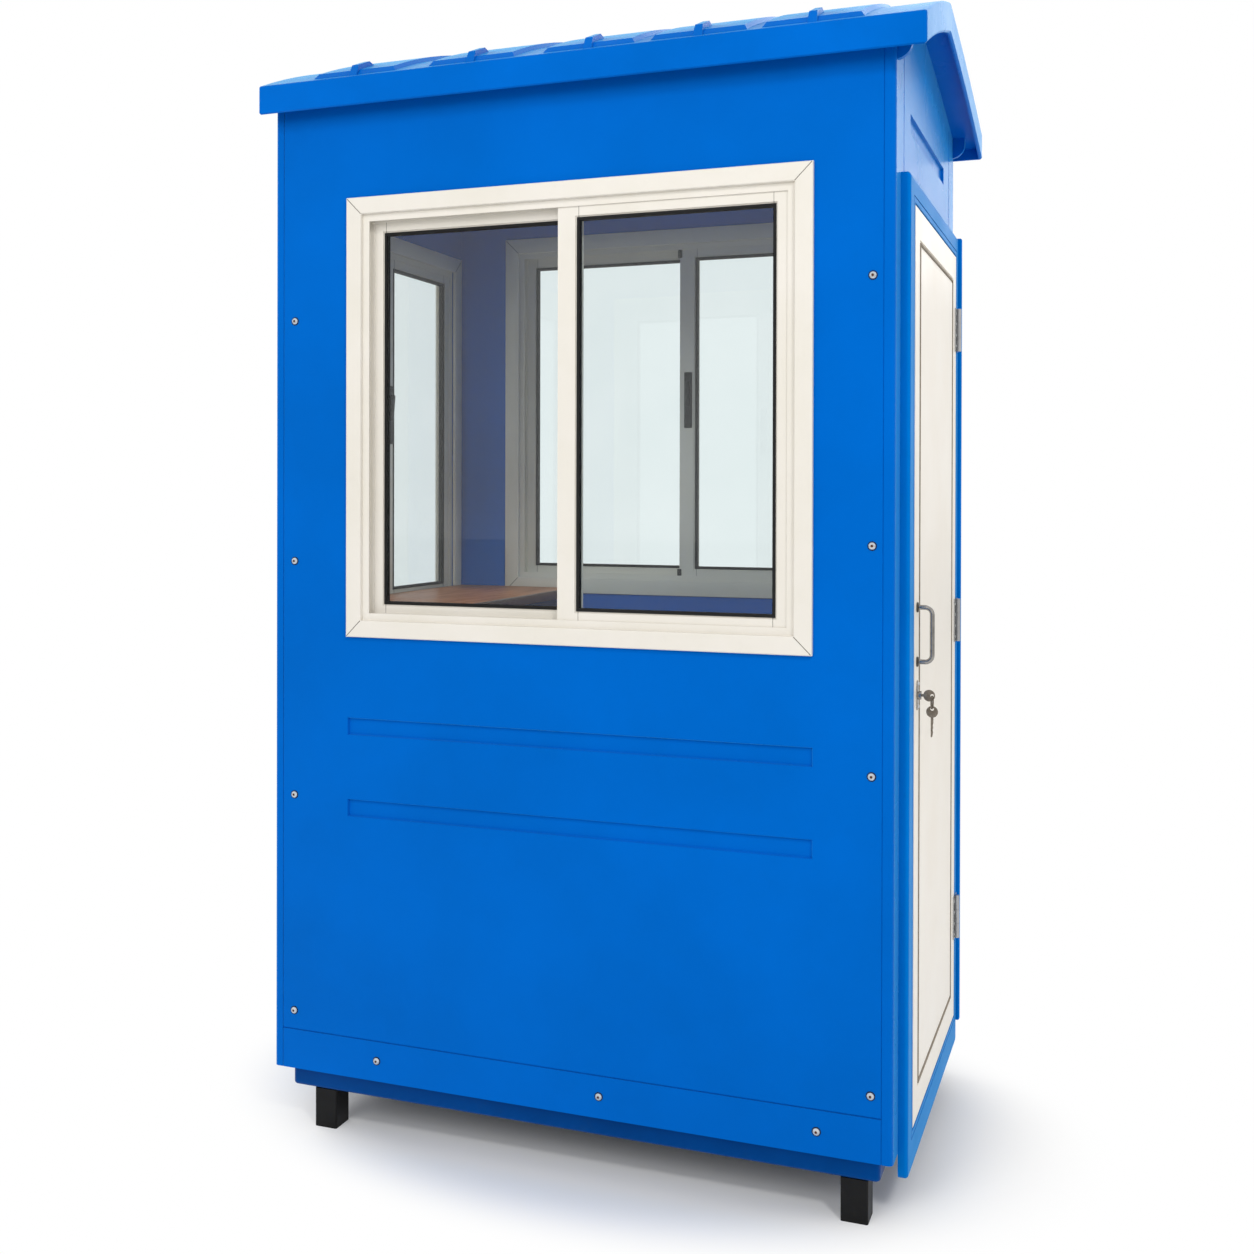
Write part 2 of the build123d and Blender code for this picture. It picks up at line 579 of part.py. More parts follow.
def hinge_parts(z_centre):
    """Frame leaf with two barrels, door leaf with one between them, and the pin."""
    z0 = z_centre - HINGE_LENGTH / 2
    third = HINGE_LENGTH / 3
    frame_plate = block(X_FRAME, X_FRAME + HINGE_PLATE, Y_AXIS, Y_AXIS + HINGE_PLATE_WIDTH,
                        z0, z0 + HINGE_LENGTH)
    door_plate = block(X_FRAME, X_FRAME + HINGE_PLATE, Y_AXIS - HINGE_PLATE_WIDTH, Y_AXIS,
                       z0, z0 + HINGE_LENGTH)
    room = cylinder_z(KNUCKLE_RADIUS + KNUCKLE_GAP, z0 + third, z0 + 2 * third)
    frame_leaf = frame_plate - room
    for low in (z0, z0 + 2 * third):
        frame_leaf += cylinder_z(KNUCKLE_RADIUS, low, low + third)
    room = cylinder_z(KNUCKLE_RADIUS + KNUCKLE_GAP, z0, z0 + third)
    room += cylinder_z(KNUCKLE_RADIUS + KNUCKLE_GAP, z0 + 2 * third, z0 + HINGE_LENGTH)
    door_leaf_plate = door_plate - room
    door_leaf_plate += cylinder_z(KNUCKLE_RADIUS, z0 + third + KNUCKLE_GAP,
                                  z0 + 2 * third - KNUCKLE_GAP)
    bore = cylinder_z(PIN_RADIUS + PIN_GAP, z0, z0 + HINGE_LENGTH)
    pin = cylinder_z(PIN_RADIUS, z0, z0 + HINGE_LENGTH)
    frame_bore = cylinder_z(PIN_RADIUS, z0, z0 + HINGE_LENGTH)
    return frame_leaf - frame_bore, door_leaf_plate - bore, pin


def pull_handle():
    """A bent bar on two round feet."""
    y = Y_DOOR_FREE + HANDLE_FROM_EDGE
    z0 = Z_WALL + HANDLE_CENTRE - HANDLE_SPAN / 2
    z1 = z0 + HANDLE_SPAN
    x1 = X_FRAME + HANDLE_PROUD - HANDLE_RADIUS
    bend = HANDLE_BEND
    path = Polyline((X_FRAME, y, z0), (x1 - bend, y, z0), (x1, y, z0 + bend), (x1, y, z1 - bend),
                    (x1 - bend, y, z1), (X_FRAME, y, z1))
    bar = sweep(Plane(path @ 0, z_dir=path % 0) * Circle(HANDLE_RADIUS), path,
                transition=Transition.RIGHT)
    for z in (z0, z1):
        foot = Plane((X_FRAME, y, z), z_dir=(1, 0, 0)) * Circle(HANDLE_FOOT_RADIUS)
        bar += extrude(foot, HANDLE_FOOT_THICK)
    return bar


def lock_parts():
    y = Y_DOOR_FREE + HANDLE_FROM_EDGE + 2
    z = Z_WALL + LOCK_CENTRE
    plate = block(X_FRAME, X_FRAME + LOCK_PLATE_THICK, y - LOCK_PLATE_WIDTH / 2,
                  y + LOCK_PLATE_WIDTH / 2, z - LOCK_PLATE_HEIGHT / 2, z + LOCK_PLATE_HEIGHT / 2)
    plate = fillet(plate.edges().filter_by(Axis.X), LOCK_PLATE_WIDTH / 2.5)
    barrel = Plane((X_FRAME, y, z), z_dir=(1, 0, 0)) * Circle(CYLINDER_RADIUS)
    barrel = extrude(barrel, LOCK_PLATE_THICK + CYLINDER_PROUD)
    plate -= barrel
    x_key = X_FRAME + LOCK_PLATE_THICK + CYLINDER_PROUD
    return plate, barrel, (x_key, y, z)


def key_bow(x, y, z):
    """A flat bow in the plane Y = y, with a hole for the ring."""
    side = Plane((x, y - KEY_THICK / 2, z), z_dir=(0, 1, 0))
    bow = extrude(side * RegularPolygon(KEY_BOW_RADIUS, KEY_SIDES), KEY_THICK)
    return bow - extrude(side * RegularPolygon(KEY_HOLE_RADIUS, KEY_SIDES), KEY_THICK)


def keys():
    """The key in the lock, the ring through its bow and the key that hangs from the ring."""
    plate, barrel, (x, y, z) = lock_parts()
    bow_x = x + KEY_BOW_RADIUS
    key = key_bow(bow_x, y, z)
    ring_z = z - RING_RADIUS
    ring_plane = Plane((bow_x - RING_THICK / 2, y, ring_z), z_dir=(1, 0, 0))
    ring = extrude(ring_plane * RegularPolygon(RING_RADIUS, 2 * KEY_SIDES), RING_THICK)
    hole = ring_plane * RegularPolygon(RING_RADIUS - RING_BAND, 2 * KEY_SIDES)
    ring -= extrude(hole, RING_THICK)
    low = key_bow(bow_x, y, ring_z - RING_RADIUS)
    return plate, barrel, key, ring, low


def desk_top():
    """Along the left wall, and cut round any window frame that stands in past its wall."""
    x0 = X_LEFT + WALL_THICK
    desk = block(x0, x0 + DESK_DEPTH, Y_FRONT + WALL_THICK, Y_BACK - WALL_THICK,
                 Z_WALL + DESK_TOP - DESK_THICK, Z_WALL + DESK_TOP)
    z0 = Z_WALL + FRONT_WINDOW_SILL + CASING_FACE
    z1 = z0 + FRONT_WINDOW_HEIGHT - 2 * CASING_FACE
    front = X_LEFT + FRONT_WINDOW_LEFT + CASING_FACE
    desk -= block(front, front + FRONT_WINDOW_WIDTH - 2 * CASING_FACE, Y_FRONT,
                  Y_FRONT + TRACK_DEPTH, z0, z1)
    side = Y_FRONT + SIDE_WINDOW_FROM_FRONT + CASING_FACE
    desk -= block(X_LEFT, X_LEFT + TRACK_DEPTH, side,
                  side + SIDE_WINDOW_WIDTH - 2 * CASING_FACE, z0, z1)
    return desk


os.makedirs("parts", exist_ok=True)
save("front_wall", long_wall(Y_FRONT, Y_FRONT + WALL_THICK, FRONT_WINDOW_LEFT, FRONT_WINDOW_SILL))
save("back_wall", long_wall(Y_BACK, Y_BACK - WALL_THICK, BACK_WINDOW_LEFT, BACK_WINDOW_SILL))
save("left_wall", left_wall())
for name, piece in zip(("right_wall_before_door", "right_wall_behind_door",
                        "right_wall_over_door"), right_wall_parts()):
    save(name, piece)
save("corner_trim_front_left", corner_trim(X_LEFT, Y_FRONT))
save("corner_trim_front_right", corner_trim(X_RIGHT, Y_FRONT))
save("corner_trim_back_left", corner_trim(X_LEFT, Y_BACK))
save("corner_trim_back_right", corner_trim(X_RIGHT, Y_BACK))
save("gable_left", gable(X_LEFT, X_LEFT + WALL_THICK))
save("gable_right", gable(X_RIGHT - WALL_THICK, X_RIGHT))
save("base_skirt", base_skirt())
save("floor", floor_panel())
save("legs", Compound(children=legs()))
save("roof_shell", roof_shell())
save("ceiling", ceiling())
save_window("front", FRONT_WINDOW_WIDTH, FRONT_WINDOW_HEIGHT,
            Pos(X_LEFT + FRONT_WINDOW_LEFT, Y_FRONT, Z_WALL + FRONT_WINDOW_SILL))
save_window("back", FRONT_WINDOW_WIDTH, FRONT_WINDOW_HEIGHT,
            Pos(X_LEFT + BACK_WINDOW_LEFT + FRONT_WINDOW_WIDTH, Y_BACK,
                Z_WALL + BACK_WINDOW_SILL) * Rot(0, 0, 180))
save_window("left", SIDE_WINDOW_WIDTH, FRONT_WINDOW_HEIGHT,
            Pos(X_LEFT, Y_FRONT + SIDE_WINDOW_FROM_FRONT + SIDE_WINDOW_WIDTH,
                Z_WALL + FRONT_WINDOW_SILL) * Rot(0, 0, -90))
save("door_frame", door_frame())
save("hinge_side_strip", hinge_strip())
save("door_leaf", door_leaf())
hinges = [hinge_parts(Z_WALL + height) for height in HINGE_HEIGHTS]
for name, solids in zip(("hinge_leaves_on_frame", "hinge_leaves_on_door", "hinge_pins"),
                        zip(*hinges)):
    save(name, Compound(children=list(solids)))
save("pull_handle", pull_handle())
for name, piece in zip(("lock_plate", "lock_barrel", "door_key", "key_ring", "hanging_key"),
                       keys()):
    save(name, piece)
save("desk_top", desk_top())
print("door hinge axis", X_AXIS, Y_AXIS)
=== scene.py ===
import math
import bpy
from mathutils import Euler, Matrix, Vector


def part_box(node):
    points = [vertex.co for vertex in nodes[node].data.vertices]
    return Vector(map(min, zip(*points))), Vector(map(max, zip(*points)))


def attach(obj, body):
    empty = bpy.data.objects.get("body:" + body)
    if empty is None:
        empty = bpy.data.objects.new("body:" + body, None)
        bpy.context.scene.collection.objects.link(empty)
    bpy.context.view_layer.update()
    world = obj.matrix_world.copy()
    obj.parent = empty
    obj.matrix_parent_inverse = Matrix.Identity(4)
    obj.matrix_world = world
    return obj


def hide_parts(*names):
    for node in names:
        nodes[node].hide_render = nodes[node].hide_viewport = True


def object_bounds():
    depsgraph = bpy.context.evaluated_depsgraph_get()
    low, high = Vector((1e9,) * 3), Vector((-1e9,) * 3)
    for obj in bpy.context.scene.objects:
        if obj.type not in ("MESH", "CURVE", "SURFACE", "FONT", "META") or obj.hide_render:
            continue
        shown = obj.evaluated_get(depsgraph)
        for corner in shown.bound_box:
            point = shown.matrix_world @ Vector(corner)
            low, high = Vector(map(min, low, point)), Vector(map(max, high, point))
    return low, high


# A small blue guard booth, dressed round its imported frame.
# All sizes are in metres unless they say mm.

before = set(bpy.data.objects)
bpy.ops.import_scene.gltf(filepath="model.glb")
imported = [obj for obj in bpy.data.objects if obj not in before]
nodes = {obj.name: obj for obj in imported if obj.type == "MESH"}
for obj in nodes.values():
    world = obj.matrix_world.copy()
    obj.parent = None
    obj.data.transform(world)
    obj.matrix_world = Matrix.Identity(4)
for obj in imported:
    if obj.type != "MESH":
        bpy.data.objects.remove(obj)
cadLow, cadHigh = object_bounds()
print("stage: frame loaded, box", [round(v, 3) for v in (*cadLow, *cadHigh)])


# camera, light and floor

cameraView = {
    "place": (1.13578, -3.19005, 1.45264),
    "yaw": 20.085,  # degrees to the left of straight back
    "pitch": 0.269,  # degrees down
    "roll": 0.135,
    "lens": 40.163,
    "shift": (-0.0018, -0.0990),
}

studio = {
    "worldLight": 0.6,  # what the world gives the object
    "worldSeen": 1.0,  # what the lens and the gloss see of it
    "lamps": {
        # name: place, disk size, watts, aim, whether gloss shows it
        "keyLamp": ((-1.0, -5.6, 3.8), 3.0, 105.0, (0, 0, 1.0), False),
        "sunLamp": ((3.2, -3.7, 4.7), 0.9, 80.0, (0, 0, 1.0), False),
        "sideLamp": ((5.6, 0.4, 3.0), 3.4, 35.0, (0, 0, 1.3), False),
        "backLamp": ((1.6, 6.0, 5.2), 5.0, 90.0, (0.2, 0, 1.6), True),
        "windowLamp": ((-5.2, 2.2, 4.2), 3.0, 120.0, (0, 0, 1.2), False),
    },
    "floorHex": "#F4F4F3",
    "floorSize": 80.0,
    "shadowFrom": 0.95,  # the shadow's patch, in halves of the booth's plan, fades to white
    "shadowTo": 1.5,
}


def linear(hexText):
    # sRGB hex to linear RGBA
    parts = [int(hexText[i:i + 2], 16) / 255 for i in (1, 3, 5)]
    return tuple(p / 12.92 if p <= 0.04045 else ((p + 0.055) / 1.055) ** 2.4
                 for p in parts) + (1.0,)


def addNode(tree, kind, settings=None, links=None):
    # one node, with its settings by name and its incoming links
    node = tree.nodes.new(kind)
    for key, value in (settings or {}).items():
        if isinstance(key, str) and hasattr(node, key):
            setattr(node, key, value)
        else:
            node.inputs[key].default_value = value
    for key, source in (links or {}).items():
        tree.links.new(source, node.inputs[key])
    return node


def blankMaterial(name):
    material = bpy.data.materials.new(name)
    material.use_nodes = True
    material.node_tree.nodes.clear()
    return material


def makeCamera():
    data = bpy.data.cameras.new("photoCamera")
    data.sensor_width = 36.0
    data.lens = cameraView["lens"]
    data.shift_x, data.shift_y = cameraView["shift"]
    camera = bpy.data.objects.new("photoCamera", data)
    bpy.context.scene.collection.objects.link(camera)
    turn = Euler((math.radians(90 - cameraView["pitch"]), 0, math.radians(cameraView["yaw"])))
    turned = turn.to_matrix() @ Matrix.Rotation(math.radians(cameraView["roll"]), 3, "Z")
    camera.matrix_world = Matrix.Translation(cameraView["place"]) @ turned.to_4x4()
    bpy.context.scene.camera = camera


def makeLamp(name, place, size, power, aim, shown):
    data = bpy.data.lights.new(name, "AREA")
    data.shape = "DISK"
    data.size = size
    data.energy = power
    lamp = bpy.data.objects.new(name, data)
    bpy.context.scene.collection.objects.link(lamp)
    lamp.location = place
    lamp.visible_glossy = shown
    lamp.visible_camera = lamp.visible_transmission = False
    lamp.rotation_euler = (Vector(aim) - Vector(place)).to_track_quat("-Z", "Y").to_euler()


def makeWorld():
    world = bpy.data.worlds.new("studioWorld")
    bpy.context.scene.world = world
    world.use_nodes = True
    tree = world.node_tree
    tree.nodes.clear()
    path = addNode(tree, "ShaderNodeLightPath")
    seen = addNode(tree, "ShaderNodeMath", {"operation": "MAXIMUM"},
                   {0: path.outputs["Is Camera Ray"], 1: path.outputs["Is Glossy Ray"]})
    seen = addNode(tree, "ShaderNodeMath", {"operation": "MAXIMUM"},
                   {0: seen.outputs[0], 1: path.outputs["Is Transmission Ray"]})
    level = addNode(tree, "ShaderNodeMapRange",
                    {"To Min": studio["worldLight"], "To Max": studio["worldSeen"]},
                    {"Value": seen.outputs[0]})
    back = addNode(tree, "ShaderNodeBackground", {"Color": (1, 1, 1, 1)},
                   {"Strength": level.outputs[0]})
    addNode(tree, "ShaderNodeOutputWorld", links={"Surface": back.outputs[0]})


def makeFloor():
    # pale sweep that keeps the booth's shadow near it and is plain white beyond
    bpy.ops.mesh.primitive_plane_add(size=studio["floorSize"], location=(0, 0, 0))
    floor = bpy.context.object
    floor.name = "studioFloor"
    material = blankMaterial("paleStudioFloor")
    tree = material.node_tree
    path = addNode(tree, "ShaderNodeLightPath")
    place = addNode(tree, "ShaderNodeTexCoord").outputs["Object"]
    plan = addNode(tree, "ShaderNodeMapping",
                   {"Scale": (1 / cadHigh[0], 1 / cadHigh[1], 1)}, {"Vector": place})
    reach = addNode(tree, "ShaderNodeVectorMath", {"operation": "LENGTH"},
                    {0: plan.outputs[0]})
    fade = addNode(tree, "ShaderNodeMapRange",
                   {"interpolation_type": "SMOOTHERSTEP", "From Min": studio["shadowFrom"],
                    "From Max": studio["shadowTo"]}, {"Value": reach.outputs["Value"]})
    seen = addNode(tree, "ShaderNodeMath", {"operation": "MAXIMUM"},
                   {0: path.outputs["Is Camera Ray"], 1: path.outputs["Is Transmission Ray"]})
    white = addNode(tree, "ShaderNodeMath", {"operation": "MULTIPLY"},
                    {0: seen.outputs[0], 1: fade.outputs[0]})
    paint = addNode(tree, "ShaderNodeBsdfDiffuse", {"Color": linear(studio["floorHex"])})
    glow = addNode(tree, "ShaderNodeEmission", {"Color": (1, 1, 1, 1), "Strength": 1.0})
    both = addNode(tree, "ShaderNodeMixShader", {},
                   {0: white.outputs[0], 1: paint.outputs[0], 2: glow.outputs[0]})
    addNode(tree, "ShaderNodeOutputMaterial", links={"Surface": both.outputs[0]})
    floor.data.materials.append(material)


makeCamera()
for lampName, lampFacts in studio["lamps"].items():
    makeLamp(lampName, *lampFacts)
makeWorld()
makeFloor()
bpy.context.scene.view_settings.view_transform = "Standard"
print("stage: camera, lamps and floor made")


# finishes

def perMm(size):
    # texture scale, in turns per metre, for a feature of that many millimetres
    return 1000.0 / size


patterns = {
    "patchRange": (0.35, 0.65),  # how much of the noise the two colours meet over
    "dirtRange": (0.56, 0.78),
    "roughRange": (0.3, 0.7),
    "sheenRough": 0.35,
    "ior": 1.5,  # gel coat, lacquer, rubber and moulded plastic are all near it
}


def solidFinish(name, look):
    # a painted, moulded or plated surface: two close colours in soft patches, grain and marks
    material = blankMaterial(name)
    tree = material.node_tree
    place = addNode(tree, "ShaderNodeTexCoord").outputs["Object"]
    stretch = addNode(tree, "ShaderNodeMapping", {"Scale": look.get("stretch", (1, 1, 1))},
                      {"Vector": place}).outputs[0]
    patch = addNode(tree, "ShaderNodeTexNoise", {"Scale": perMm(look["patchMm"]), "Detail": 4.0,
                                                 "Roughness": 0.6}, {"Vector": stretch})
    spread = addNode(tree, "ShaderNodeMapRange", {"From Min": patterns["patchRange"][0],
                                                  "From Max": patterns["patchRange"][1]},
                     {"Value": patch.outputs["Fac"]})
    tone = addNode(tree, "ShaderNodeMix", {"data_type": "RGBA", 6: linear(look["hex"]),
                                           7: linear(look["otherHex"])},
                   {0: spread.outputs[0]}).outputs[2]
    dirt = addNode(tree, "ShaderNodeTexNoise", {"Scale": perMm(look.get("dirtMm", 60)),
                                                "Detail": 8.0, "Roughness": 0.7},
                   {"Vector": place})
    dirtMask = addNode(tree, "ShaderNodeMapRange", {"From Min": patterns["dirtRange"][0],
                                                    "From Max": patterns["dirtRange"][1],
                                                    "To Max": look.get("dirt", 0.0)},
                       {"Value": dirt.outputs["Fac"]}).outputs[0]
    tone = addNode(tree, "ShaderNodeMix", {"data_type": "RGBA",
                                           7: linear(look.get("dirtHex", "#6E6A62"))},
                   {0: dirtMask, 6: tone}).outputs[2]
    grain = addNode(tree, "ShaderNodeTexNoise", {"Scale": perMm(look["grainMm"]), "Detail": 2.0},
                    {"Vector": stretch})
    rough = addNode(tree, "ShaderNodeMapRange",
                    {"From Min": patterns["roughRange"][0],
                     "From Max": patterns["roughRange"][1],
                     "To Min": look["rough"] - look["roughSpan"],
                     "To Max": look["rough"] + look["roughSpan"]},
                    {"Value": patch.outputs["Fac"]})
    bump = addNode(tree, "ShaderNodeBump", {"Strength": look["bump"],
                                            "Distance": look.get("bumpMm", 0.3) / 1000},
                   {"Height": grain.outputs["Fac"]})
    shader = addNode(tree, "ShaderNodeBsdfPrincipled",
                     {"Metallic": look.get("metal", 0.0),
                      "Specular IOR Level": look.get("specular", 0.5),
                      "Specular Tint": linear(look.get("tint", "#FFFFFF")),
                      # a tinted sheen, where a finish has one, is a painted highlight at a
                      # grazing angle
                      "Sheen Weight": look.get("sheen", 0.0),
                      "Sheen Roughness": patterns["sheenRough"],
                      "Sheen Tint": linear(look.get("highlightSheenHex", "#FFFFFF"))},
                     {"Base Color": tone, "Roughness": rough.outputs[0],
                      "Normal": bump.outputs[0]})
    if not look.get("metal"):
        shader.inputs["IOR"].default_value = patterns["ior"]
    addNode(tree, "ShaderNodeOutputMaterial", links={"Surface": shader.outputs[0]})
    return material


def glassFinish(name, look):
    # clear panes with a faint film; lamps shine through them
    material = blankMaterial(name)
    tree = material.node_tree
    path = addNode(tree, "ShaderNodeLightPath")
    place = addNode(tree, "ShaderNodeTexCoord").outputs["Object"]
    film = addNode(tree, "ShaderNodeTexNoise", {"Scale": perMm(look["filmMm"]), "Detail": 3.0},
                   {"Vector": place})
    tone = addNode(tree, "ShaderNodeMix", {"data_type": "RGBA", 6: linear(look["hex"]),
                                           7: linear(look["filmHex"])},
                   {0: film.outputs["Fac"]}).outputs[2]
    shader = addNode(tree, "ShaderNodeBsdfPrincipled",
                     {"Transmission Weight": 1.0, "Roughness": 0.0, "IOR": look["ior"],
                      "Specular IOR Level": look["specular"]}, {"Base Color": tone})
    clear = addNode(tree, "ShaderNodeBsdfTransparent", {"Color": linear(look["hex"])})
    both = addNode(tree, "ShaderNodeMixShader", {},
                   {0: path.outputs["Is Shadow Ray"], 1: shader.outputs[0],
                    2: clear.outputs[0]})
    addNode(tree, "ShaderNodeOutputMaterial", links={"Surface": both.outputs[0]})
    return material


finishLooks = {
    # gel-coated moulded glass fibre: deep even colour, satin gloss, faint orange peel;
    # its cyan sheen is a painted highlight, the pale bloom on faces seen at a grazing angle
    "gelCoatBlue": {"hex": "#0065C6", "otherHex": "#0060BC", "patchMm": 420, "grainMm": 7,
                    "rough": 0.26, "roughSpan": 0.05, "bump": 0.04, "dirt": 0.04,
                    "dirtMm": 35, "dirtHex": "#174A82", "specular": 0.07, "tint": "#3C96FF",
                    "sheen": 0.75, "highlightSheenHex": "#58CCFF"},
    "gelCoatRoof": {"hex": "#0066C8", "otherHex": "#0060BC", "patchMm": 300, "grainMm": 7,
                    "rough": 0.27, "roughSpan": 0.06, "bump": 0.05, "dirt": 0.06,
                    "dirtMm": 40, "dirtHex": "#174A82", "specular": 0.07, "tint": "#3C96FF",
                    "sheen": 0.75, "highlightSheenHex": "#58CCFF"},
    # the door's frame is a separate moulding: a lighter blue, a little duller; its cyan sheen is
    # a painted highlight
    "gelCoatFrame": {"hex": "#0074CC", "otherHex": "#006EC2", "patchMm": 300, "grainMm": 7,
                     "rough": 0.42, "roughSpan": 0.05, "bump": 0.04, "dirt": 0.05,
                     "dirtMm": 30, "dirtHex": "#174A82", "specular": 0.03, "tint": "#3C96FF",
                     "sheen": 0.45, "highlightSheenHex": "#58CCFF"},
    # brushed-on enamel over the base rail: a little duller and darker
    "baseEnamel": {"hex": "#00448A", "otherHex": "#003E80", "patchMm": 160, "grainMm": 5,
                   "rough": 0.42, "roughSpan": 0.06, "bump": 0.08, "dirt": 0.2,
                   "dirtMm": 45, "dirtHex": "#2C4463", "specular": 0.25, "tint": "#3C96FF"},
    # cream gel coat on the door: smooth, slightly warmer in patches
    "gelCoatCream": {"hex": "#F3EDE3", "otherHex": "#F0E9DE", "patchMm": 260, "grainMm": 6,
                     "rough": 0.36, "roughSpan": 0.05, "bump": 0.04, "dirt": 0.04,
                     "dirtMm": 50, "dirtHex": "#B5AC9B", "specular": 0.25},
    # powder-coated aluminium: satin, with a fine even texture
    "powderCoatCream": {"hex": "#E5E0D7", "otherHex": "#E1DCD1", "patchMm": 200, "grainMm": 2,
                        "rough": 0.42, "roughSpan": 0.04, "bump": 0.08, "dirt": 0.06,
                        "dirtMm": 30, "dirtHex": "#9B9484", "specular": 0.35},
    # black powder coat on square steel tube: near black with a soft sheen
    "powderCoatBlack": {"hex": "#0D0D0D", "otherHex": "#141414", "patchMm": 40, "grainMm": 2,
                        "rough": 0.45, "roughSpan": 0.08, "bump": 0.12, "dirt": 0.15,
                        "dirtMm": 25, "dirtHex": "#3E3B35", "specular": 0.2},
    # satin stainless steel: grey, drawn lines along its length
    "satinStainless": {"hex": "#B9BABB", "otherHex": "#A7A8AA", "patchMm": 3, "grainMm": 1.5,
                       "stretch": (1, 1, 0.05), "rough": 0.30, "roughSpan": 0.08, "bump": 0.08,
                       "bumpMm": 0.1, "metal": 1.0},
    # bright chromium plate: mirror-like with faint clouding
    "chromePlate": {"hex": "#A9A6A1", "otherHex": "#8F8C88", "patchMm": 12, "grainMm": 1.5,
                    "rough": 0.18, "roughSpan": 0.05, "bump": 0.02, "bumpMm": 0.05, "metal": 1.0},
    # nickel-plated brass keys: warm grey, worn at the bows
    "nickelPlate": {"hex": "#8F867A", "otherHex": "#756B5E", "patchMm": 8, "grainMm": 1.2,
                    "rough": 0.25, "roughSpan": 0.08, "bump": 0.05, "bumpMm": 0.05, "metal": 1.0},
    # smooth ceiling sheet of the same blue, duller than the walls
    "ceilingSheet": {"hex": "#0063C2", "otherHex": "#005CB6", "patchMm": 500, "grainMm": 5,
                     "rough": 0.6, "roughSpan": 0.05, "bump": 0.03, "specular": 0.08,
                     "tint": "#3C96FF"},
    # painted shade: a grey-brown strip in the door's panel line, for the shadow in its groove
    "panelGrooveShade": {"hex": "#8F8576", "otherHex": "#7F7567", "patchMm": 14, "grainMm": 1.5,
                  "rough": 0.6, "roughSpan": 0.06, "bump": 0.06, "specular": 0.3},
    # matt vinyl sheet on the floor
    "vinylFloor": {"hex": "#6E7174", "otherHex": "#63666A", "patchMm": 6, "grainMm": 2,
                   "rough": 0.6, "roughSpan": 0.08, "bump": 0.15, "dirt": 0.3, "dirtMm": 90,
                   "dirtHex": "#4C463D"},
    # zinc-plated steel: bright blue-white domes, slightly clouded
    "zincPlate": {"hex": "#D2D5D8", "otherHex": "#C2C5C8", "patchMm": 4, "grainMm": 1,
                  "rough": 0.28, "roughSpan": 0.06, "bump": 0.03, "bumpMm": 0.05, "metal": 1.0},
    # rust and dirt that settle in a drive recess: dull red-brown
    "rustedRecess": {"hex": "#6B4636", "otherHex": "#4A2F26", "patchMm": 1, "grainMm": 0.6,
                     "rough": 0.8, "roughSpan": 0.1, "bump": 0.3},
    # nitrile rubber: black, matt, faintly dusty
    "nitrileRubber": {"hex": "#0B0B0B", "otherHex": "#121212", "patchMm": 12, "grainMm": 1.5,
                      "rough": 0.6, "roughSpan": 0.08, "bump": 0.1, "dirt": 0.1, "dirtMm": 20,
                      "dirtHex": "#3A3833", "specular": 0.3},
    # grey sealant in the joints between frame lengths
    "jointSealant": {"hex": "#77736A", "otherHex": "#67635A", "patchMm": 5, "grainMm": 1,
                     "rough": 0.7, "roughSpan": 0.06, "bump": 0.1, "specular": 0.3},
    # injection-moulded black plastic on latches and stops
    "mouldedBlack": {"hex": "#161616", "otherHex": "#1E1E1E", "patchMm": 10, "grainMm": 0.8,
                     "rough": 0.42, "roughSpan": 0.05, "bump": 0.12, "specular": 0.4},
    # dark plated steel of the handle's roses
    "darkSteel": {"hex": "#5A5752", "otherHex": "#44413D", "patchMm": 4, "grainMm": 1,
                  "rough": 0.3, "roughSpan": 0.06, "bump": 0.04, "bumpMm": 0.05, "metal": 1.0},
    # plastic edge band on the desk: darker and plainer than the laminate
    "edgeBand": {"hex": "#5A2E1B", "otherHex": "#4A2516", "patchMm": 20, "grainMm": 1.5,
                 "stretch": (1, 0.1, 1), "rough": 0.4, "roughSpan": 0.05, "bump": 0.05},
    # wood-grain laminate: long reddish-brown streaks under a satin film
    "laminateWood": {"hex": "#C07A4C", "otherHex": "#9C5C36", "patchMm": 9, "grainMm": 2.5,
                     "stretch": (1, 0.06, 1), "rough": 0.42, "roughSpan": 0.05, "bump": 0.06,
                     "specular": 0.25},
}

nodeFinishes = {
    "gelCoatBlue": ["front_wall", "back_wall", "left_wall", "right_wall_before_door",
                    "right_wall_behind_door", "right_wall_over_door", "gable_left",
                    "gable_right", "corner_trim_front_left", "corner_trim_front_right",
                    "corner_trim_back_left", "corner_trim_back_right"],
    "gelCoatFrame": ["hinge_side_strip", "door_frame"],
    "gelCoatRoof": ["roof_shell"],
    "baseEnamel": ["base_skirt"],
    "ceilingSheet": ["ceiling"],
    "vinylFloor": ["floor"],
    "powderCoatBlack": ["legs"],
    "gelCoatCream": ["door_leaf"],
    "powderCoatCream": [f"{side}_window_{part}" for side in ("front", "back", "left")
                        for part in ("casing", "tracks", "outer_sash", "inner_sash")],
    "satinStainless": ["hinge_leaves_on_frame", "hinge_leaves_on_door", "hinge_pins"],
    "chromePlate": ["pull_handle", "lock_plate", "lock_barrel"],
    "nickelPlate": ["door_key", "key_ring", "hanging_key"],
    "laminateWood": ["desk_top"],
}

finishes = {name: solidFinish(name, look) for name, look in finishLooks.items()}
finishes["floatGlass"] = glassFinish("floatGlass", {"hex": "#F4F9F9", "filmHex": "#EDF4F4",
                                                    "filmMm": 180, "ior": 1.45,
                                                    "specular": 0.22})
nodeFinishes["floatGlass"] = [f"{side}_window_glass" for side in ("front", "back", "left")]

for finishName, members in nodeFinishes.items():
    for member in members:
        nodes[member].data.materials.clear()
        nodes[member].data.materials.append(finishes[finishName])
print("stage: finishes made for", len(finishes), "materials")


# modelling helpers

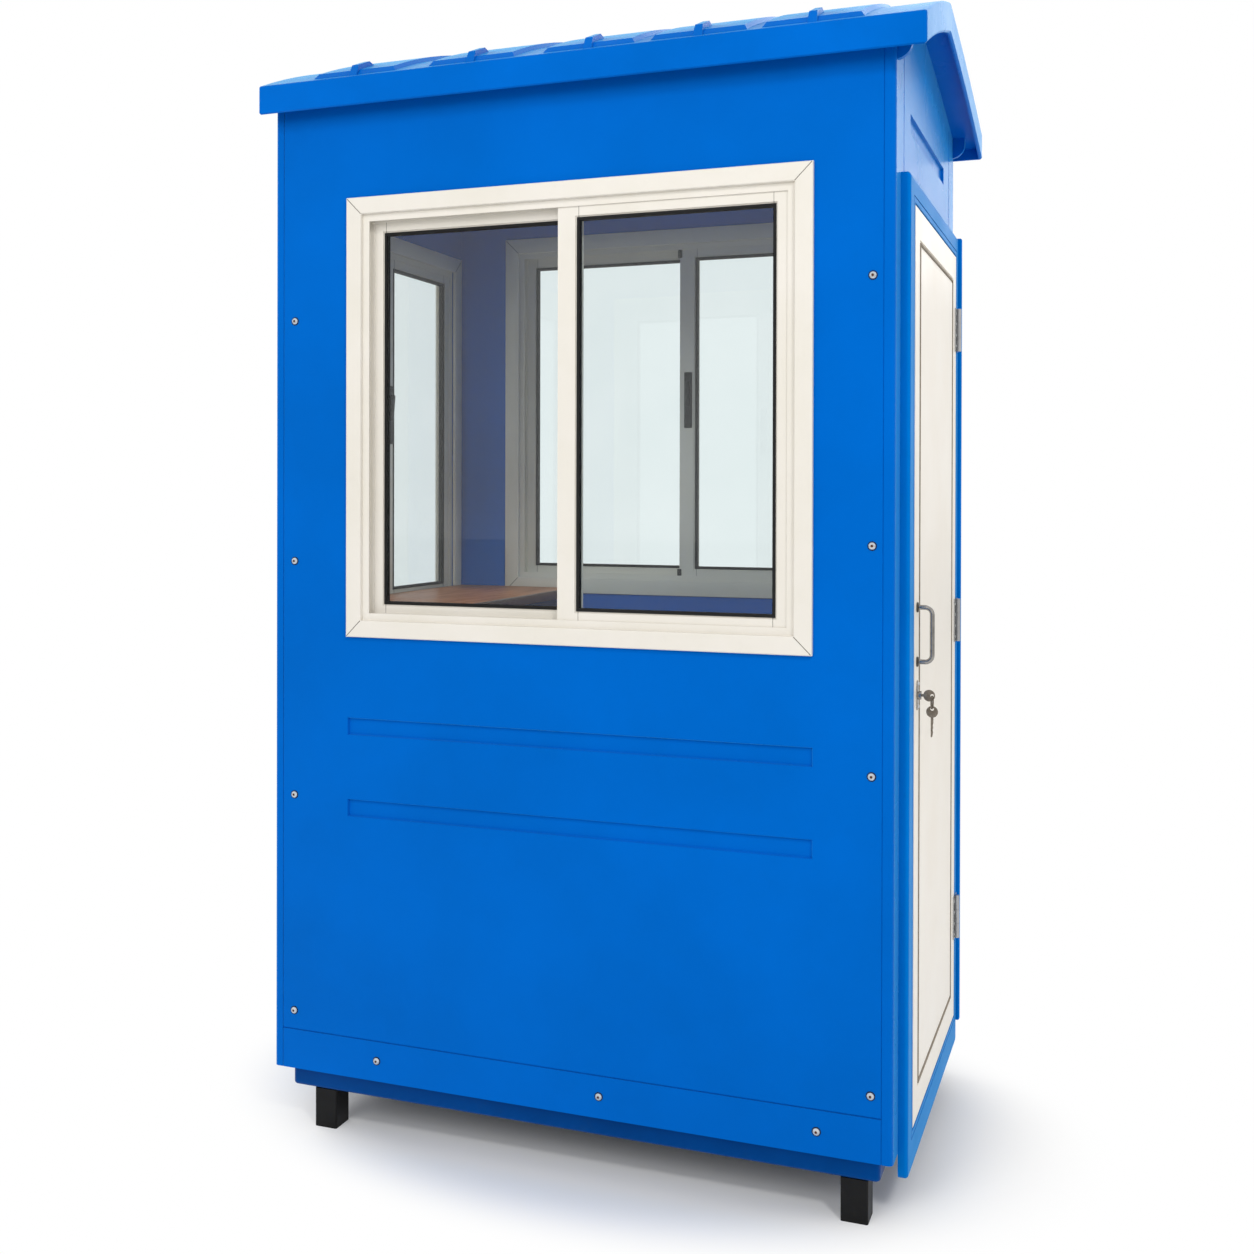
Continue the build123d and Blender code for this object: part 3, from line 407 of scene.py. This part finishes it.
def startFresh():
    # the frame's nodes come in selected, so nothing is before a piece begins
    if bpy.context.mode != "OBJECT":
        bpy.ops.object.mode_set(mode="OBJECT")
    bpy.ops.object.select_all(action="DESELECT")


def pick(kind, test):
    # selects vertices, edges or faces of the active piece by their place, then stays in edit mode
    piece = bpy.context.object
    bpy.ops.object.mode_set(mode="EDIT")
    bpy.ops.mesh.select_mode(type=kind)
    bpy.ops.mesh.select_all(action="DESELECT")
    bpy.ops.object.mode_set(mode="OBJECT")
    mesh = piece.data
    if kind == "VERT":
        for vertex in mesh.vertices:
            vertex.select = test(vertex.co)
    elif kind == "EDGE":
        for edge in mesh.edges:
            ends = [mesh.vertices[i].co for i in edge.vertices]
            edge.select = test(ends[0], ends[1])
    else:
        for face in mesh.polygons:
            face.select = test(face.center, face.normal)
    bpy.ops.object.mode_set(mode="EDIT")


def modify(kind, **settings):
    piece = bpy.context.object
    modifier = piece.modifiers.new(kind, kind)
    for key, value in settings.items():
        setattr(modifier, key, value)
    bpy.ops.object.modifier_apply(modifier=modifier.name)


def faceOutwards():
    bpy.ops.object.mode_set(mode="EDIT")
    bpy.ops.mesh.select_all(action="SELECT")
    bpy.ops.mesh.remove_doubles(threshold=0.00001)
    bpy.ops.mesh.normals_make_consistent(inside=False)
    bpy.ops.object.mode_set(mode="OBJECT")


def joined(pieces):
    startFresh()
    for piece in pieces:
        piece.select_set(True)
    bpy.context.view_layer.objects.active = pieces[0]
    if len(pieces) > 1:
        bpy.ops.object.join()
    return bpy.context.object


def finish(piece, name, body, slot, *finishNames, smooth=35):
    # gives a piece whose shape is done its name, finish and body
    startFresh()
    piece.select_set(True)
    bpy.context.view_layer.objects.active = piece
    bpy.ops.object.transform_apply(location=True, rotation=True, scale=True)
    bpy.ops.object.shade_smooth_by_angle(angle=math.radians(smooth))
    piece.name = piece.data.name = name
    if not piece.data.materials:
        for finishName in finishNames:
            piece.data.materials.append(finishes[finishName])
    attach(piece, body)
    return piece


def copyTo(piece, matrix):
    # a copy with its own mesh
    twin = piece.copy()
    twin.data = piece.data.copy()
    bpy.context.scene.collection.objects.link(twin)
    twin.data.transform(matrix)
    return twin


def rectangleRing(x0, x1, z0, z1, wide, y0, y1, bevel=0.0):
    # a flat rectangular ring in the XZ plane, extruded from y0 to y1
    startFresh()
    bpy.ops.mesh.primitive_plane_add(size=1, location=((x0 + x1) / 2, y0, (z0 + z1) / 2),
                                     rotation=(math.radians(90), 0, 0))
    ring = bpy.context.object
    ring.scale = (x1 - x0, z1 - z0, 1)
    bpy.ops.object.transform_apply(location=True, rotation=True, scale=True)
    bpy.ops.object.mode_set(mode="EDIT")
    bpy.ops.mesh.select_mode(type="FACE")
    bpy.ops.mesh.select_all(action="SELECT")
    bpy.ops.mesh.inset(thickness=wide, depth=0)
    bpy.ops.mesh.delete(type="FACE")
    bpy.ops.mesh.select_all(action="SELECT")
    bpy.ops.mesh.extrude_region_move(TRANSFORM_OT_translate={"value": (0, y1 - y0, 0)})
    faceOutwards()
    if bevel:
        modify("BEVEL", width=bevel, segments=2, limit_method="ANGLE")
    return ring


def roundedBlock(low, high, bevel, segments=2):
    startFresh()
    middle = [(a + b) / 2 for a, b in zip(low, high)]
    bpy.ops.mesh.primitive_cube_add(size=1, location=middle)
    block = bpy.context.object
    block.scale = [b - a for a, b in zip(low, high)]
    bpy.ops.object.transform_apply(location=True, rotation=True, scale=True)
    modify("BEVEL", width=bevel, segments=segments)
    return block


# screws

wallScrews = {
    "headRadius": 0.0078,
    "headRise": 0.0036,
    "darkRingRadius": 0.0092,
    "darkRingThick": 0.0010,
    "recessDeep": 0.0016,
    "sides": 24,
    "left": (1.711, 1.163, 0.628, 0.133),  # heights over the wall's foot
    "right": (1.748, 1.216, 0.762, 0.133),
    "foot": (0.268, 0.802, 1.268),  # along the wall, from its left edge
    "leftIn": 0.053,
    "rightIn": 1.376,
    "footUp": 0.046,
    "sideIn": 0.070,  # columns on the left wall, from its ends
    "sideFoot": (0.20, 0.395, 0.59),
}


screwShape = {
    # (width, rise) of each ring up the dome, in shares of the head's
    "rings": ((0.97, 0.30), (0.88, 0.30), (0.72, 0.22), (0.50, 0.13), (0.36, 0.05)),
    "recessTaper": 0.8,
    "recessShare": 0.34,  # faces within this share of the head are the recess
    "darkRingOver": 0.0001,  # faces this near the ring's top are black
    "recessOver": 0.001,
    "middle": 0.001,
}


def domedScrew(size):
    # a domed head on a thin black ring, with a drive recess, standing on Z = 0
    startFresh()
    bpy.ops.mesh.primitive_circle_add(vertices=size["sides"], radius=size["darkRingRadius"],
                                      fill_type="NGON")
    screw = bpy.context.object
    bpy.ops.object.mode_set(mode="EDIT")
    bpy.ops.mesh.select_mode(type="FACE")
    bpy.ops.mesh.select_all(action="SELECT")
    bpy.ops.mesh.extrude_region_move(
        TRANSFORM_OT_translate={"value": (0, 0, size["darkRingThick"])})
    bpy.ops.mesh.inset(thickness=size["darkRingRadius"] - size["headRadius"], depth=0)
    rise = size["headRise"]
    for share, lift in screwShape["rings"]:
        bpy.ops.mesh.extrude_region_move(TRANSFORM_OT_translate={"value": (0, 0, rise * lift)})
        top = max(v.co.z for v in selectedVertices(screw))
        reach = max(math.hypot(v.co.x, v.co.y) for v in selectedVertices(screw))
        scale = size["headRadius"] * share / reach
        bpy.ops.transform.resize(value=(scale, scale, 1), center_override=(0, 0, top))
    bpy.ops.mesh.extrude_region_move(
        TRANSFORM_OT_translate={"value": (0, 0, -size["recessDeep"])})
    taper = screwShape["recessTaper"]
    bpy.ops.transform.resize(value=(taper, taper, 1), center_override=(0, 0, 0))
    bpy.ops.object.mode_set(mode="OBJECT")
    faceOutwards()
    for finishName in ("zincPlate", "nitrileRubber", "rustedRecess"):
        screw.data.materials.append(finishes[finishName])
    for face in screw.data.polygons:
        reach = math.hypot(face.center.x, face.center.y)
        over = face.center.z - size["darkRingThick"]
        if over < screwShape["darkRingOver"] and reach > screwShape["middle"]:
            face.material_index = 1
        elif (reach < size["headRadius"] * screwShape["recessShare"]
              and over > screwShape["recessOver"]):
            face.material_index = 2
    return screw


def selectedVertices(piece):
    piece.update_from_editmode()
    return [v for v in piece.data.vertices if v.select]


def placeScrews(name, body, slot, master, spots, turn):
    # copies of one screw at the spots, each standing out along the turned Z
    twins = [copyTo(master, Matrix.Translation(spot) @ turn.to_4x4()) for spot in spots]
    return finish(joined(twins), name, body, slot)


def facing(axis):
    # the turn that brings Z to that axis
    return Vector((0, 0, 1)).rotation_difference(Vector(axis)).to_matrix()


wallLow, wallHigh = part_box("front_wall")
trimLow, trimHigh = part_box("corner_trim_front_left")
backLow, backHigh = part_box("back_wall")
leftLow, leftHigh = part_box("left_wall")
edgeLeft, edgeRight = trimLow[0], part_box("corner_trim_front_right")[1][0]
foot = wallLow[2]
master = domedScrew(wallScrews)
frontSpots = [(edgeLeft + wallScrews["leftIn"], wallLow[1], foot + z) for z in wallScrews["left"]]
frontSpots += [(edgeLeft + wallScrews["rightIn"], wallLow[1], foot + z)
               for z in wallScrews["right"]]
frontSpots += [(edgeLeft + x, wallLow[1], foot + wallScrews["footUp"])
               for x in wallScrews["foot"]]
backSpots = [(edgeLeft + edgeRight - x, backHigh[1], z) for x, y, z in frontSpots]
sideSpots = [(leftLow[0], y, foot + z) for z in wallScrews["left"]
             for y in (trimLow[1] + wallScrews["sideIn"], -trimLow[1] - wallScrews["sideIn"])]
sideSpots += [(leftLow[0], leftLow[1] + y, foot + wallScrews["footUp"])
              for y in wallScrews["sideFoot"]]
placeScrews("front_wall_screws", "booth", "bright_metal", master, frontSpots, facing((0, -1, 0)))
placeScrews("back_wall_screws", "booth", "bright_metal", master, backSpots, facing((0, 1, 0)))
placeScrews("left_wall_screws", "booth", "bright_metal", master, sideSpots, facing((-1, 0, 0)))
bpy.data.objects.remove(master)

hingeScrews = {
    "headRadius": 0.0038,
    "headRise": 0.0009,
    "darkRingRadius": 0.0040,
    "darkRingThick": 0.0002,
    "recessDeep": 0.0005,
    "sides": 16,
    "along": (-0.040, -0.014, 0.014, 0.040),
    "fromEdge": 0.0085,  # from the leaf's free edge
    "plate": 0.0025,
    "middles": (0.414, 1.149, 1.865),  # heights of the three hinges
}

master = domedScrew(hingeScrews)
frameLeafLow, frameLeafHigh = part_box("hinge_leaves_on_frame")
doorLeafLow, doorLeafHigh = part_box("hinge_leaves_on_door")
face = frameLeafLow[0] + hingeScrews["plate"]
for name, body, y in (("hinge_screws_on_frame", "booth",
                       frameLeafHigh[1] - hingeScrews["fromEdge"]),
                      ("hinge_screws_on_door", "door",
                       doorLeafLow[1] + hingeScrews["fromEdge"])):
    spots = [(face, y, z + step) for z in hingeScrews["middles"]
             for step in hingeScrews["along"]]
    placeScrews(name, body, "hinge_steel", master, spots, facing((1, 0, 0)))
bpy.data.objects.remove(master)
print("stage: screws made")


# gaskets, inner casings, seams, latches and stops of the three windows

windowFit = {
    "stile": 0.038, "meeting": 0.048, "rail": 0.034,
    "ledgeWide": 0.0050, "ledgeDeep": 0.00295, "lip": 0.0016, "sunk": 0.0006,
    "glassHalf": 0.0025, "gasketBevel": 0.0005, "gasketLap": 0.0002, "gasketGap": 0.0001,
    "glassGap": 0.00005,
    "wallThick": 0.050, "innerFace": 0.040, "innerProud": 0.008, "innerBevel": 0.0015,
    "casingFace": 0.038, "casingProud": 0.010,
    "seamWide": 0.0016, "seamProud": 0.00015, "seamDeep": 0.0008,
    "mitreFrom": 0.0025, "mitreTo": 0.0008,  # from the casing's outer and inner corners
    "buttShare": 0.6, "buttIn": 0.001,  # the sashes' butt lines are finer
    "deskRoom": 0.02, "deskGapX": 0.0005, "deskGapZ": 0.0002, "roomBevel": 0.0001,
}
sashLatch = {
    "plate": (0.022, 0.004, 0.150), "plateBevel": 0.0018,
    "lever": (0.012, 0.011, 0.066), "leverBevel": 0.0030, "leverUp": 0.018,
    "height": 0.54,  # share of the sash's height
    "leverSink": 0.001, "leverTaper": 0.45,
}
sashStop = {"out": 0.006, "tall": 0.022, "in": 0.006, "near": 0.005, "past": 0.002,
            "bevel": 0.0015}


def windowPlace(side, ends, turn):
    # the casing's corner that the window's own frame starts from, and that frame's turn
    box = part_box(f"{side}_window_casing")
    corner = (box[ends[0]][0], box[ends[1]][1], box[0][2])
    return Matrix.Translation(corner) @ Matrix.Rotation(turn, 4, "Z")


windowPlaces = {
    "front": windowPlace("front", (0, 1), 0),
    "back": windowPlace("back", (1, 0), math.pi),
    "left": windowPlace("left", (1, 1), -math.pi / 2),
}


def inWindow(place, node):
    # a node's box in the window's own frame: X along it, Y into the wall, Z up
    back = place.inverted()
    corners = [back @ Vector(corner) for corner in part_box(node)]
    low = [min(c[i] for c in corners) for i in range(3)]
    high = [max(c[i] for c in corners) for i in range(3)]
    return low, high


def seamStrip(a, b, y0, y1, wide):
    # a thin strip from a to b in the XZ plane, as long as the joint it fills
    run = Vector((b[0] - a[0], 0, b[1] - a[1]))
    side = Vector((-run.z, 0, run.x)).normalized() * wide / 2
    startFresh()
    bpy.ops.mesh.primitive_plane_add(size=1)
    strip = bpy.context.object
    start, end = Vector((a[0], y0, a[1])), Vector((b[0], y0, b[1]))
    for vertex, corner in zip(strip.data.vertices, (start - side, end - side, start + side,
                                                    end + side)):
        vertex.co = corner
    bpy.ops.object.mode_set(mode="EDIT")
    bpy.ops.mesh.select_mode(type="FACE")
    bpy.ops.mesh.select_all(action="SELECT")
    bpy.ops.mesh.extrude_region_move(TRANSFORM_OT_translate={"value": (0, y1 - y0, 0)})
    faceOutwards()
    return strip


def dressWindow(side, place):
    fit = windowFit
    low, high = inWindow(place, f"{side}_window_casing")
    width, height = high[0] - low[0], high[2] - low[2]
    rings, seams = [], []
    for sash in ("outer", "inner"):
        (x0, y0, z0), (x1, y1, z1) = inWindow(place, f"{side}_window_{sash}_sash")
        left = fit["meeting"] if sash == "outer" else fit["stile"]
        right = fit["stile"] if sash == "outer" else fit["meeting"]
        ax, bx, az, bz = x0 + left, x1 - right, z0 + fit["rail"], z1 - fit["rail"]
        glass = (y0 + y1) / 2
        grow = fit["ledgeWide"]
        for face, sign in ((y0, 1), (y1, -1)):
            ends = sorted((face + sign * fit["sunk"], face + sign * fit["ledgeDeep"]))
            rings.append(rectangleRing(ax - grow, bx + grow, az - grow, bz + grow,
                                       grow + fit["lip"], *ends, bevel=fit["gasketBevel"]))
            ends = sorted((face + sign * (fit["ledgeDeep"] - fit["gasketLap"]),
                           glass - sign * (fit["glassHalf"] + fit["glassGap"])))
            gap = fit["gasketGap"]
            rings.append(rectangleRing(ax + gap, bx - gap, az + gap, bz - gap,
                                       fit["lip"], *ends))
            # the sash's stiles run full height, so its rails show a butt line at each end
            ends = sorted((face - sign * fit["seamProud"], face + sign * fit["seamDeep"]))
            for x in (ax, bx):
                for za, zb in ((z0 + fit["buttIn"], az - grow), (bz + grow, z1 - fit["buttIn"])):
                    seams.append(seamStrip((x, za), (x, zb), *ends,
                                           fit["seamWide"] * fit["buttShare"]))
    finish(joined(rings), f"{side}_window_gaskets", "booth", "cream_frames", "nitrileRubber")

    # an inner casing like the outer one, cut away where the desk lies against the wall
    inner = rectangleRing(0, width, 0, height, fit["innerFace"], fit["wallThick"],
                          fit["wallThick"] + fit["innerProud"], fit["innerBevel"])
    inner.data.transform(place)
    deskLow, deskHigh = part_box("desk_top")
    if side != "back":
        room = roundedBlock([v - fit["deskRoom"] for v in deskLow],
                            [deskHigh[0] + fit["deskGapX"], deskHigh[1] + fit["deskRoom"],
                             deskHigh[2] + fit["deskGapZ"]], fit["roomBevel"], 1)
        startFresh()
        inner.select_set(True)
        bpy.context.view_layer.objects.active = inner
        modify("BOOLEAN", operation="DIFFERENCE", solver="EXACT", object=room)
        bpy.data.objects.remove(room)
    finish(inner, f"{side}_window_inner_casing", "booth", "cream_frames", "powderCoatCream")

    # dark lines in the mitres of both casings
    for face, proud, wide in ((-fit["casingProud"], -1, fit["casingFace"]),
                              (fit["wallThick"] + fit["innerProud"], 1, fit["innerFace"])):
        ends = sorted((face + proud * fit["seamProud"], face - proud * fit["seamDeep"]))
        near, far = fit["mitreFrom"], wide - fit["mitreTo"]
        for x, sx in ((0, 1), (width, -1)):
            for z, sz in ((0, 1), (height, -1)):
                if proud > 0 and side != "back" and z == 0 and (side == "left" or x == 0):
                    continue  # that corner is behind the desk
                seams.append(seamStrip((x + sx * near, z + sz * near),
                                       (x + sx * far, z + sz * far), *ends,
                                       fit["seamWide"]))
    seam = joined(seams)
    finish(seam, f"{side}_window_seams", "booth", "cream_frames", "jointSealant")

    # latch and stops on the inner sash's meeting stile, on the room side
    (x0, y0, z0), (x1, y1, z1) = inWindow(place, f"{side}_window_inner_sash")
    x = x1 - fit["meeting"] / 2
    z = z0 + (z1 - z0) * sashLatch["height"]
    w, d, h = sashLatch["plate"]
    plate = roundedBlock((x - w / 2, y1, z - h / 2), (x + w / 2, y1 + d, z + h / 2),
                         sashLatch["plateBevel"])
    lw, ld, lh = sashLatch["lever"]
    zl = z + sashLatch["leverUp"]
    lever = roundedBlock((x - lw / 2, y1 + d - sashLatch["leverSink"], zl - lh / 2),
                         (x + lw / 2, y1 + d + ld, zl + lh / 2), sashLatch["leverBevel"], 3)
    pick("VERT", lambda co: co.y > y1 + d + ld / 2 and co.z < zl)
    bpy.ops.transform.translate(value=(0, -ld * sashLatch["leverTaper"], 0))
    bpy.ops.object.mode_set(mode="OBJECT")
    stops = []
    for low, high in ((z0 + sashStop["in"], z0 + sashStop["in"] + sashStop["tall"]),
                      (z1 - sashStop["in"] - sashStop["tall"], z1 - sashStop["in"])):
        stops.append(roundedBlock((x1 - sashStop["out"], y0 + sashStop["near"], low),
                                  (x1 + sashStop["out"], y1 + sashStop["past"], high),
                                  sashStop["bevel"]))
    finish(joined([plate, lever]), f"{side}_window_latch", "booth", "cream_frames",
           "mouldedBlack")
    finish(joined(stops), f"{side}_window_stops", "booth", "cream_frames", "mouldedBlack")
    for part in ("gaskets", "seams", "latch", "stops"):
        bpy.data.objects[f"{side}_window_{part}"].data.transform(place)


for side, place in windowPlaces.items():
    dressWindow(side, place)
print("stage: windows dressed")


# pull handle

handleShape = {"bar": 0.005, "bend": 0.014, "spanHalf": 0.056, "footRadius": 0.0105,
               "footThick": 0.0045, "sides": 20, "steps": 8, "footSides": 28,
               # (rise, width) of each ring of a foot, in shares
               "footRings": ((0.5, 1.0), (0.2, 0.94), (0.3, 0.72))}


def bentHandle():
    low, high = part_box("pull_handle")
    y, middle = (low[1] + high[1]) / 2, (low[2] + high[2]) / 2
    z0, z1 = middle - handleShape["spanHalf"], middle + handleShape["spanHalf"]
    outer = high[0] - handleShape["bar"]
    bend = handleShape["bend"]
    startFresh()
    bpy.ops.mesh.primitive_circle_add(vertices=handleShape["sides"], radius=handleShape["bar"],
                                      fill_type="NGON", location=(low[0], y, z0),
                                      rotation=(0, math.radians(90), 0))
    bpy.ops.object.transform_apply(location=True, rotation=True, scale=True)
    bpy.ops.object.mode_set(mode="EDIT")
    bpy.ops.mesh.select_mode(type="FACE")
    bpy.ops.mesh.select_all(action="SELECT")
    straight = {"value": (outer - bend - low[0], 0, 0)}
    bpy.ops.mesh.extrude_region_move(TRANSFORM_OT_translate=straight)
    bpy.ops.mesh.spin(steps=handleShape["steps"], angle=math.radians(90),
                      center=(outer - bend, y, z0 + bend), axis=(0, 1, 0))
    bpy.ops.mesh.extrude_region_move(
        TRANSFORM_OT_translate={"value": (0, 0, z1 - z0 - 2 * bend)})
    bpy.ops.mesh.spin(steps=handleShape["steps"], angle=math.radians(90),
                      center=(outer - bend, y, z1 - bend), axis=(0, 1, 0))
    bpy.ops.mesh.extrude_region_move(
        TRANSFORM_OT_translate={"value": (-straight["value"][0], 0, 0)})
    bpy.ops.object.mode_set(mode="OBJECT")
    faceOutwards()
    return bpy.context.object, (low[0], y, z0), (low[0], y, z1)


def handleFoot(spot):
    # a turned rose: a disk with a rounded step
    startFresh()
    bpy.ops.mesh.primitive_circle_add(vertices=handleShape["footSides"],
                                      radius=handleShape["footRadius"], fill_type="NGON",
                                      location=spot, rotation=(0, math.radians(90), 0))
    bpy.ops.object.transform_apply(location=True, rotation=True, scale=True)
    bpy.ops.object.mode_set(mode="EDIT")
    bpy.ops.mesh.select_mode(type="FACE")
    bpy.ops.mesh.select_all(action="SELECT")
    thick = handleShape["footThick"]
    for share, scale in handleShape["footRings"]:
        bpy.ops.mesh.extrude_region_move(TRANSFORM_OT_translate={"value": (thick * share, 0, 0)})
        bpy.ops.transform.resize(value=(1, scale, scale), center_override=spot)
    bpy.ops.object.mode_set(mode="OBJECT")
    faceOutwards()
    return bpy.context.object


bar, lowSpot, highSpot = bentHandle()
finish(bar, "bent_pull_handle", "door", "bright_metal", "chromePlate", smooth=50)
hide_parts("pull_handle")
feet = joined([handleFoot(lowSpot), handleFoot(highSpot)])
finish(feet, "handle_roses", "door", "bright_metal", "darkSteel")
print("stage: handle bent, box", [round(v, 4) for v in bar.bound_box[6]])


# lock plate and keys

lockShape = {"half": (0.014, 0.031), "thick": 0.0030, "sides": 40, "screwUp": 0.0235,
             "rings": ((0.45, 1.0), (0.35, 0.93), (0.20, 0.80)), "screwSeat": 0.8,
             "screw": {"headRadius": 0.0036, "headRise": 0.0028, "darkRingRadius": 0.0038}}
keyShape = {"bow": 0.0120, "hole": 0.0036, "holeUp": 0.0060, "thick": 0.0022, "sides": 28,
            "blade": 0.034, "notches": (0.0, 0.0012, 0.0002, 0.0016, 0.0006, 0.0013, 0.0024),
            "neck": 0.006, "shoulder": 0.004, "neckAngle": 20, "bevel": 0.0003}
ringShape = {"radius": 0.0135, "wire": 0.0009, "sides": 8, "steps": 40,
             "pitch": 1.8}  # between the two turns, in radii of the wire


def ovalPlate():
    low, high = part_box("lock_plate")
    spot = (low[0], (low[1] + high[1]) / 2, (low[2] + high[2]) / 2)
    startFresh()
    bpy.ops.mesh.primitive_circle_add(vertices=lockShape["sides"], radius=1.0,
                                      fill_type="NGON", location=spot,
                                      rotation=(0, math.radians(90), 0))
    plate = bpy.context.object
    plate.scale = (lockShape["half"][1], lockShape["half"][0], 1)
    bpy.ops.object.transform_apply(location=True, rotation=True, scale=True)
    bpy.ops.object.mode_set(mode="EDIT")
    bpy.ops.mesh.select_mode(type="FACE")
    bpy.ops.mesh.select_all(action="SELECT")
    for share, scale in lockShape["rings"]:
        bpy.ops.mesh.extrude_region_move(
            TRANSFORM_OT_translate={"value": (lockShape["thick"] * share, 0, 0)})
        bpy.ops.transform.resize(value=(1, scale, scale), center_override=spot)
    bpy.ops.object.mode_set(mode="OBJECT")
    faceOutwards()
    return bpy.context.object, spot


def flatKey(spot, blade, turned):
    # bow with its hole, shoulder and cut blade, drawn flat in the XZ plane and then thickened
    size = keyShape["bow"]
    startFresh()
    bpy.ops.mesh.primitive_circle_add(vertices=keyShape["sides"], radius=size,
                                      fill_type="NOTHING", rotation=(math.radians(90), 0, 0))
    key = bpy.context.object
    bpy.ops.object.transform_apply(location=True, rotation=True, scale=True)
    bpy.ops.object.mode_set(mode="EDIT")
    bpy.ops.mesh.select_mode(type="EDGE")
    bpy.ops.mesh.select_all(action="SELECT")
    bpy.ops.mesh.extrude_region_move(TRANSFORM_OT_translate={"value": (0, 0, 0)})
    share = keyShape["hole"] / size
    bpy.ops.transform.resize(value=(share, 1, share), center_override=(0, 0, 0))
    bpy.ops.transform.translate(value=(0, 0, keyShape["holeUp"]))
    lowest = -size * math.cos(math.radians(keyShape["neckAngle"]))
    pick("EDGE", lambda a, b: a.z < lowest and b.z < lowest)
    bpy.ops.mesh.extrude_region_move(
        TRANSFORM_OT_translate={"value": (0, 0, -keyShape["neck"])})
    step = blade / len(keyShape["notches"])
    level = 0.0
    for cut in keyShape["notches"] if blade else ():
        bpy.ops.mesh.extrude_region_move(TRANSFORM_OT_translate={"value": (0, 0, -step)})
        bottom = min(v.co.z for v in selectedVertices(key))
        edge = max(v.co.x for v in selectedVertices(key))
        pick("VERT", lambda co: co.z < bottom + step * 0.6 and co.x > edge - 0.0002)
        bpy.ops.transform.translate(value=(level - cut, 0, 0))
        level = cut
        pick("EDGE", lambda a, b: max(a.z, b.z) < bottom + step * 0.6
             and abs(a.x - b.x) > 0.0001)
    bpy.ops.object.mode_set(mode="OBJECT")
    modify("SOLIDIFY", thickness=keyShape["thick"], offset=0)
    faceOutwards()
    modify("BEVEL", width=keyShape["bevel"], segments=1, limit_method="ANGLE")
    key.data.transform(Matrix.Translation(spot) @ Matrix.Rotation(turned, 4, "Y"))
    return key


def splitRing(spot):
    # a small circle of wire spun round the ring's axis, and a second turn beside the first
    startFresh()
    radius, wire = ringShape["radius"], ringShape["wire"]
    bpy.ops.mesh.primitive_circle_add(vertices=ringShape["sides"], radius=wire,
                                      fill_type="NOTHING", location=(0, radius, 0))
    bpy.ops.object.transform_apply(location=True, rotation=True, scale=True)
    bpy.ops.object.mode_set(mode="EDIT")
    bpy.ops.mesh.select_mode(type="EDGE")
    bpy.ops.mesh.select_all(action="SELECT")
    bpy.ops.mesh.spin(steps=ringShape["steps"], angle=math.radians(360), center=(0, 0, 0),
                      axis=(1, 0, 0))
    bpy.ops.object.mode_set(mode="OBJECT")
    faceOutwards()
    turn = bpy.context.object
    pitch = wire * ringShape["pitch"]
    twin = copyTo(turn, Matrix.Translation((pitch, 0, 0)))
    for piece in (turn, twin):
        piece.data.transform(Matrix.Translation((-pitch / 2, 0, 0)))
    ring = joined([turn, twin])
    ring.data.transform(Matrix.Translation(spot))
    return ring


plate, lockSpot = ovalPlate()
finish(plate, "oval_lock_plate", "door", "bright_metal", "chromePlate", smooth=50)
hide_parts("lock_plate")
master = domedScrew({**hingeScrews, **lockShape["screw"]})
seat = lockSpot[0] + lockShape["thick"] * lockShape["screwSeat"]
spots = [(seat, lockSpot[1], lockSpot[2] + step)
         for step in (-lockShape["screwUp"], lockShape["screwUp"])]
placeScrews("lock_plate_screws", "door", "bright_metal", master, spots, facing((1, 0, 0)))
bpy.data.objects.remove(master)

keyLow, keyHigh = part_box("door_key")
y, z = (keyLow[1] + keyHigh[1]) / 2, (keyLow[2] + keyHigh[2]) / 2
bowX = keyLow[0] + keyShape["bow"] + keyShape["shoulder"]
ringX = bowX + keyShape["holeUp"]
lockKey = flatKey((bowX, y, z), 0, math.radians(90))  # its blade is in the barrel
finish(lockKey, "key_in_lock", "door", "key_metal", "nickelPlate", smooth=30)
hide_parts("door_key")
ring = splitRing((ringX, y, z - ringShape["radius"]))
finish(ring, "split_ring", "door", "key_metal", "nickelPlate", smooth=60)
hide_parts("key_ring")
hangKey = flatKey((ringX, y, z - 2 * ringShape["radius"] - keyShape["holeUp"]),
                  keyShape["blade"], 0.0)
finish(hangKey, "hanging_key_cut", "door", "key_metal", "nickelPlate", smooth=30)
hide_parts("hanging_key")
print("stage: lock and keys made")


# painted shade in the door's panel line: a grey-brown strip for the groove's shadow

panelLine = {"in": 0.0648, "wide": 0.0044, "deep": 0.0040, "high": 0.0055, "bevel": 0.0010}
doorLow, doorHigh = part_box("door_leaf")
grooveShade = rectangleRing(doorLow[1] + panelLine["in"], doorHigh[1] - panelLine["in"],
                     doorLow[2] + panelLine["in"], doorHigh[2] - panelLine["in"],
                     panelLine["wide"], 0, panelLine["high"], panelLine["bevel"])
grooveShade.data.transform(Matrix.Translation((doorHigh[0] - panelLine["deep"] + panelLine["high"], 0,
                                        0)) @ Matrix.Rotation(math.pi / 2, 4, "Z"))
finish(grooveShade, "door_panel_groove_shade", "door", "cream", "panelGrooveShade")
print("stage: panel bead laid")


# desk

deskShape = {"edgeBevel": 0.004}
deskLow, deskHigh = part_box("desk_top")
desk = roundedBlock(deskLow, deskHigh, deskShape["edgeBevel"], 3)
desk.data.materials.append(finishes["laminateWood"])
desk.data.materials.append(finishes["edgeBand"])
for facet in desk.data.polygons:
    facet.material_index = 1 if facet.normal.x > 0.5 else 0
finish(desk, "edge_banded_desk", "booth", "desk_wood")
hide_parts("desk_top")
print("stage: desk made")
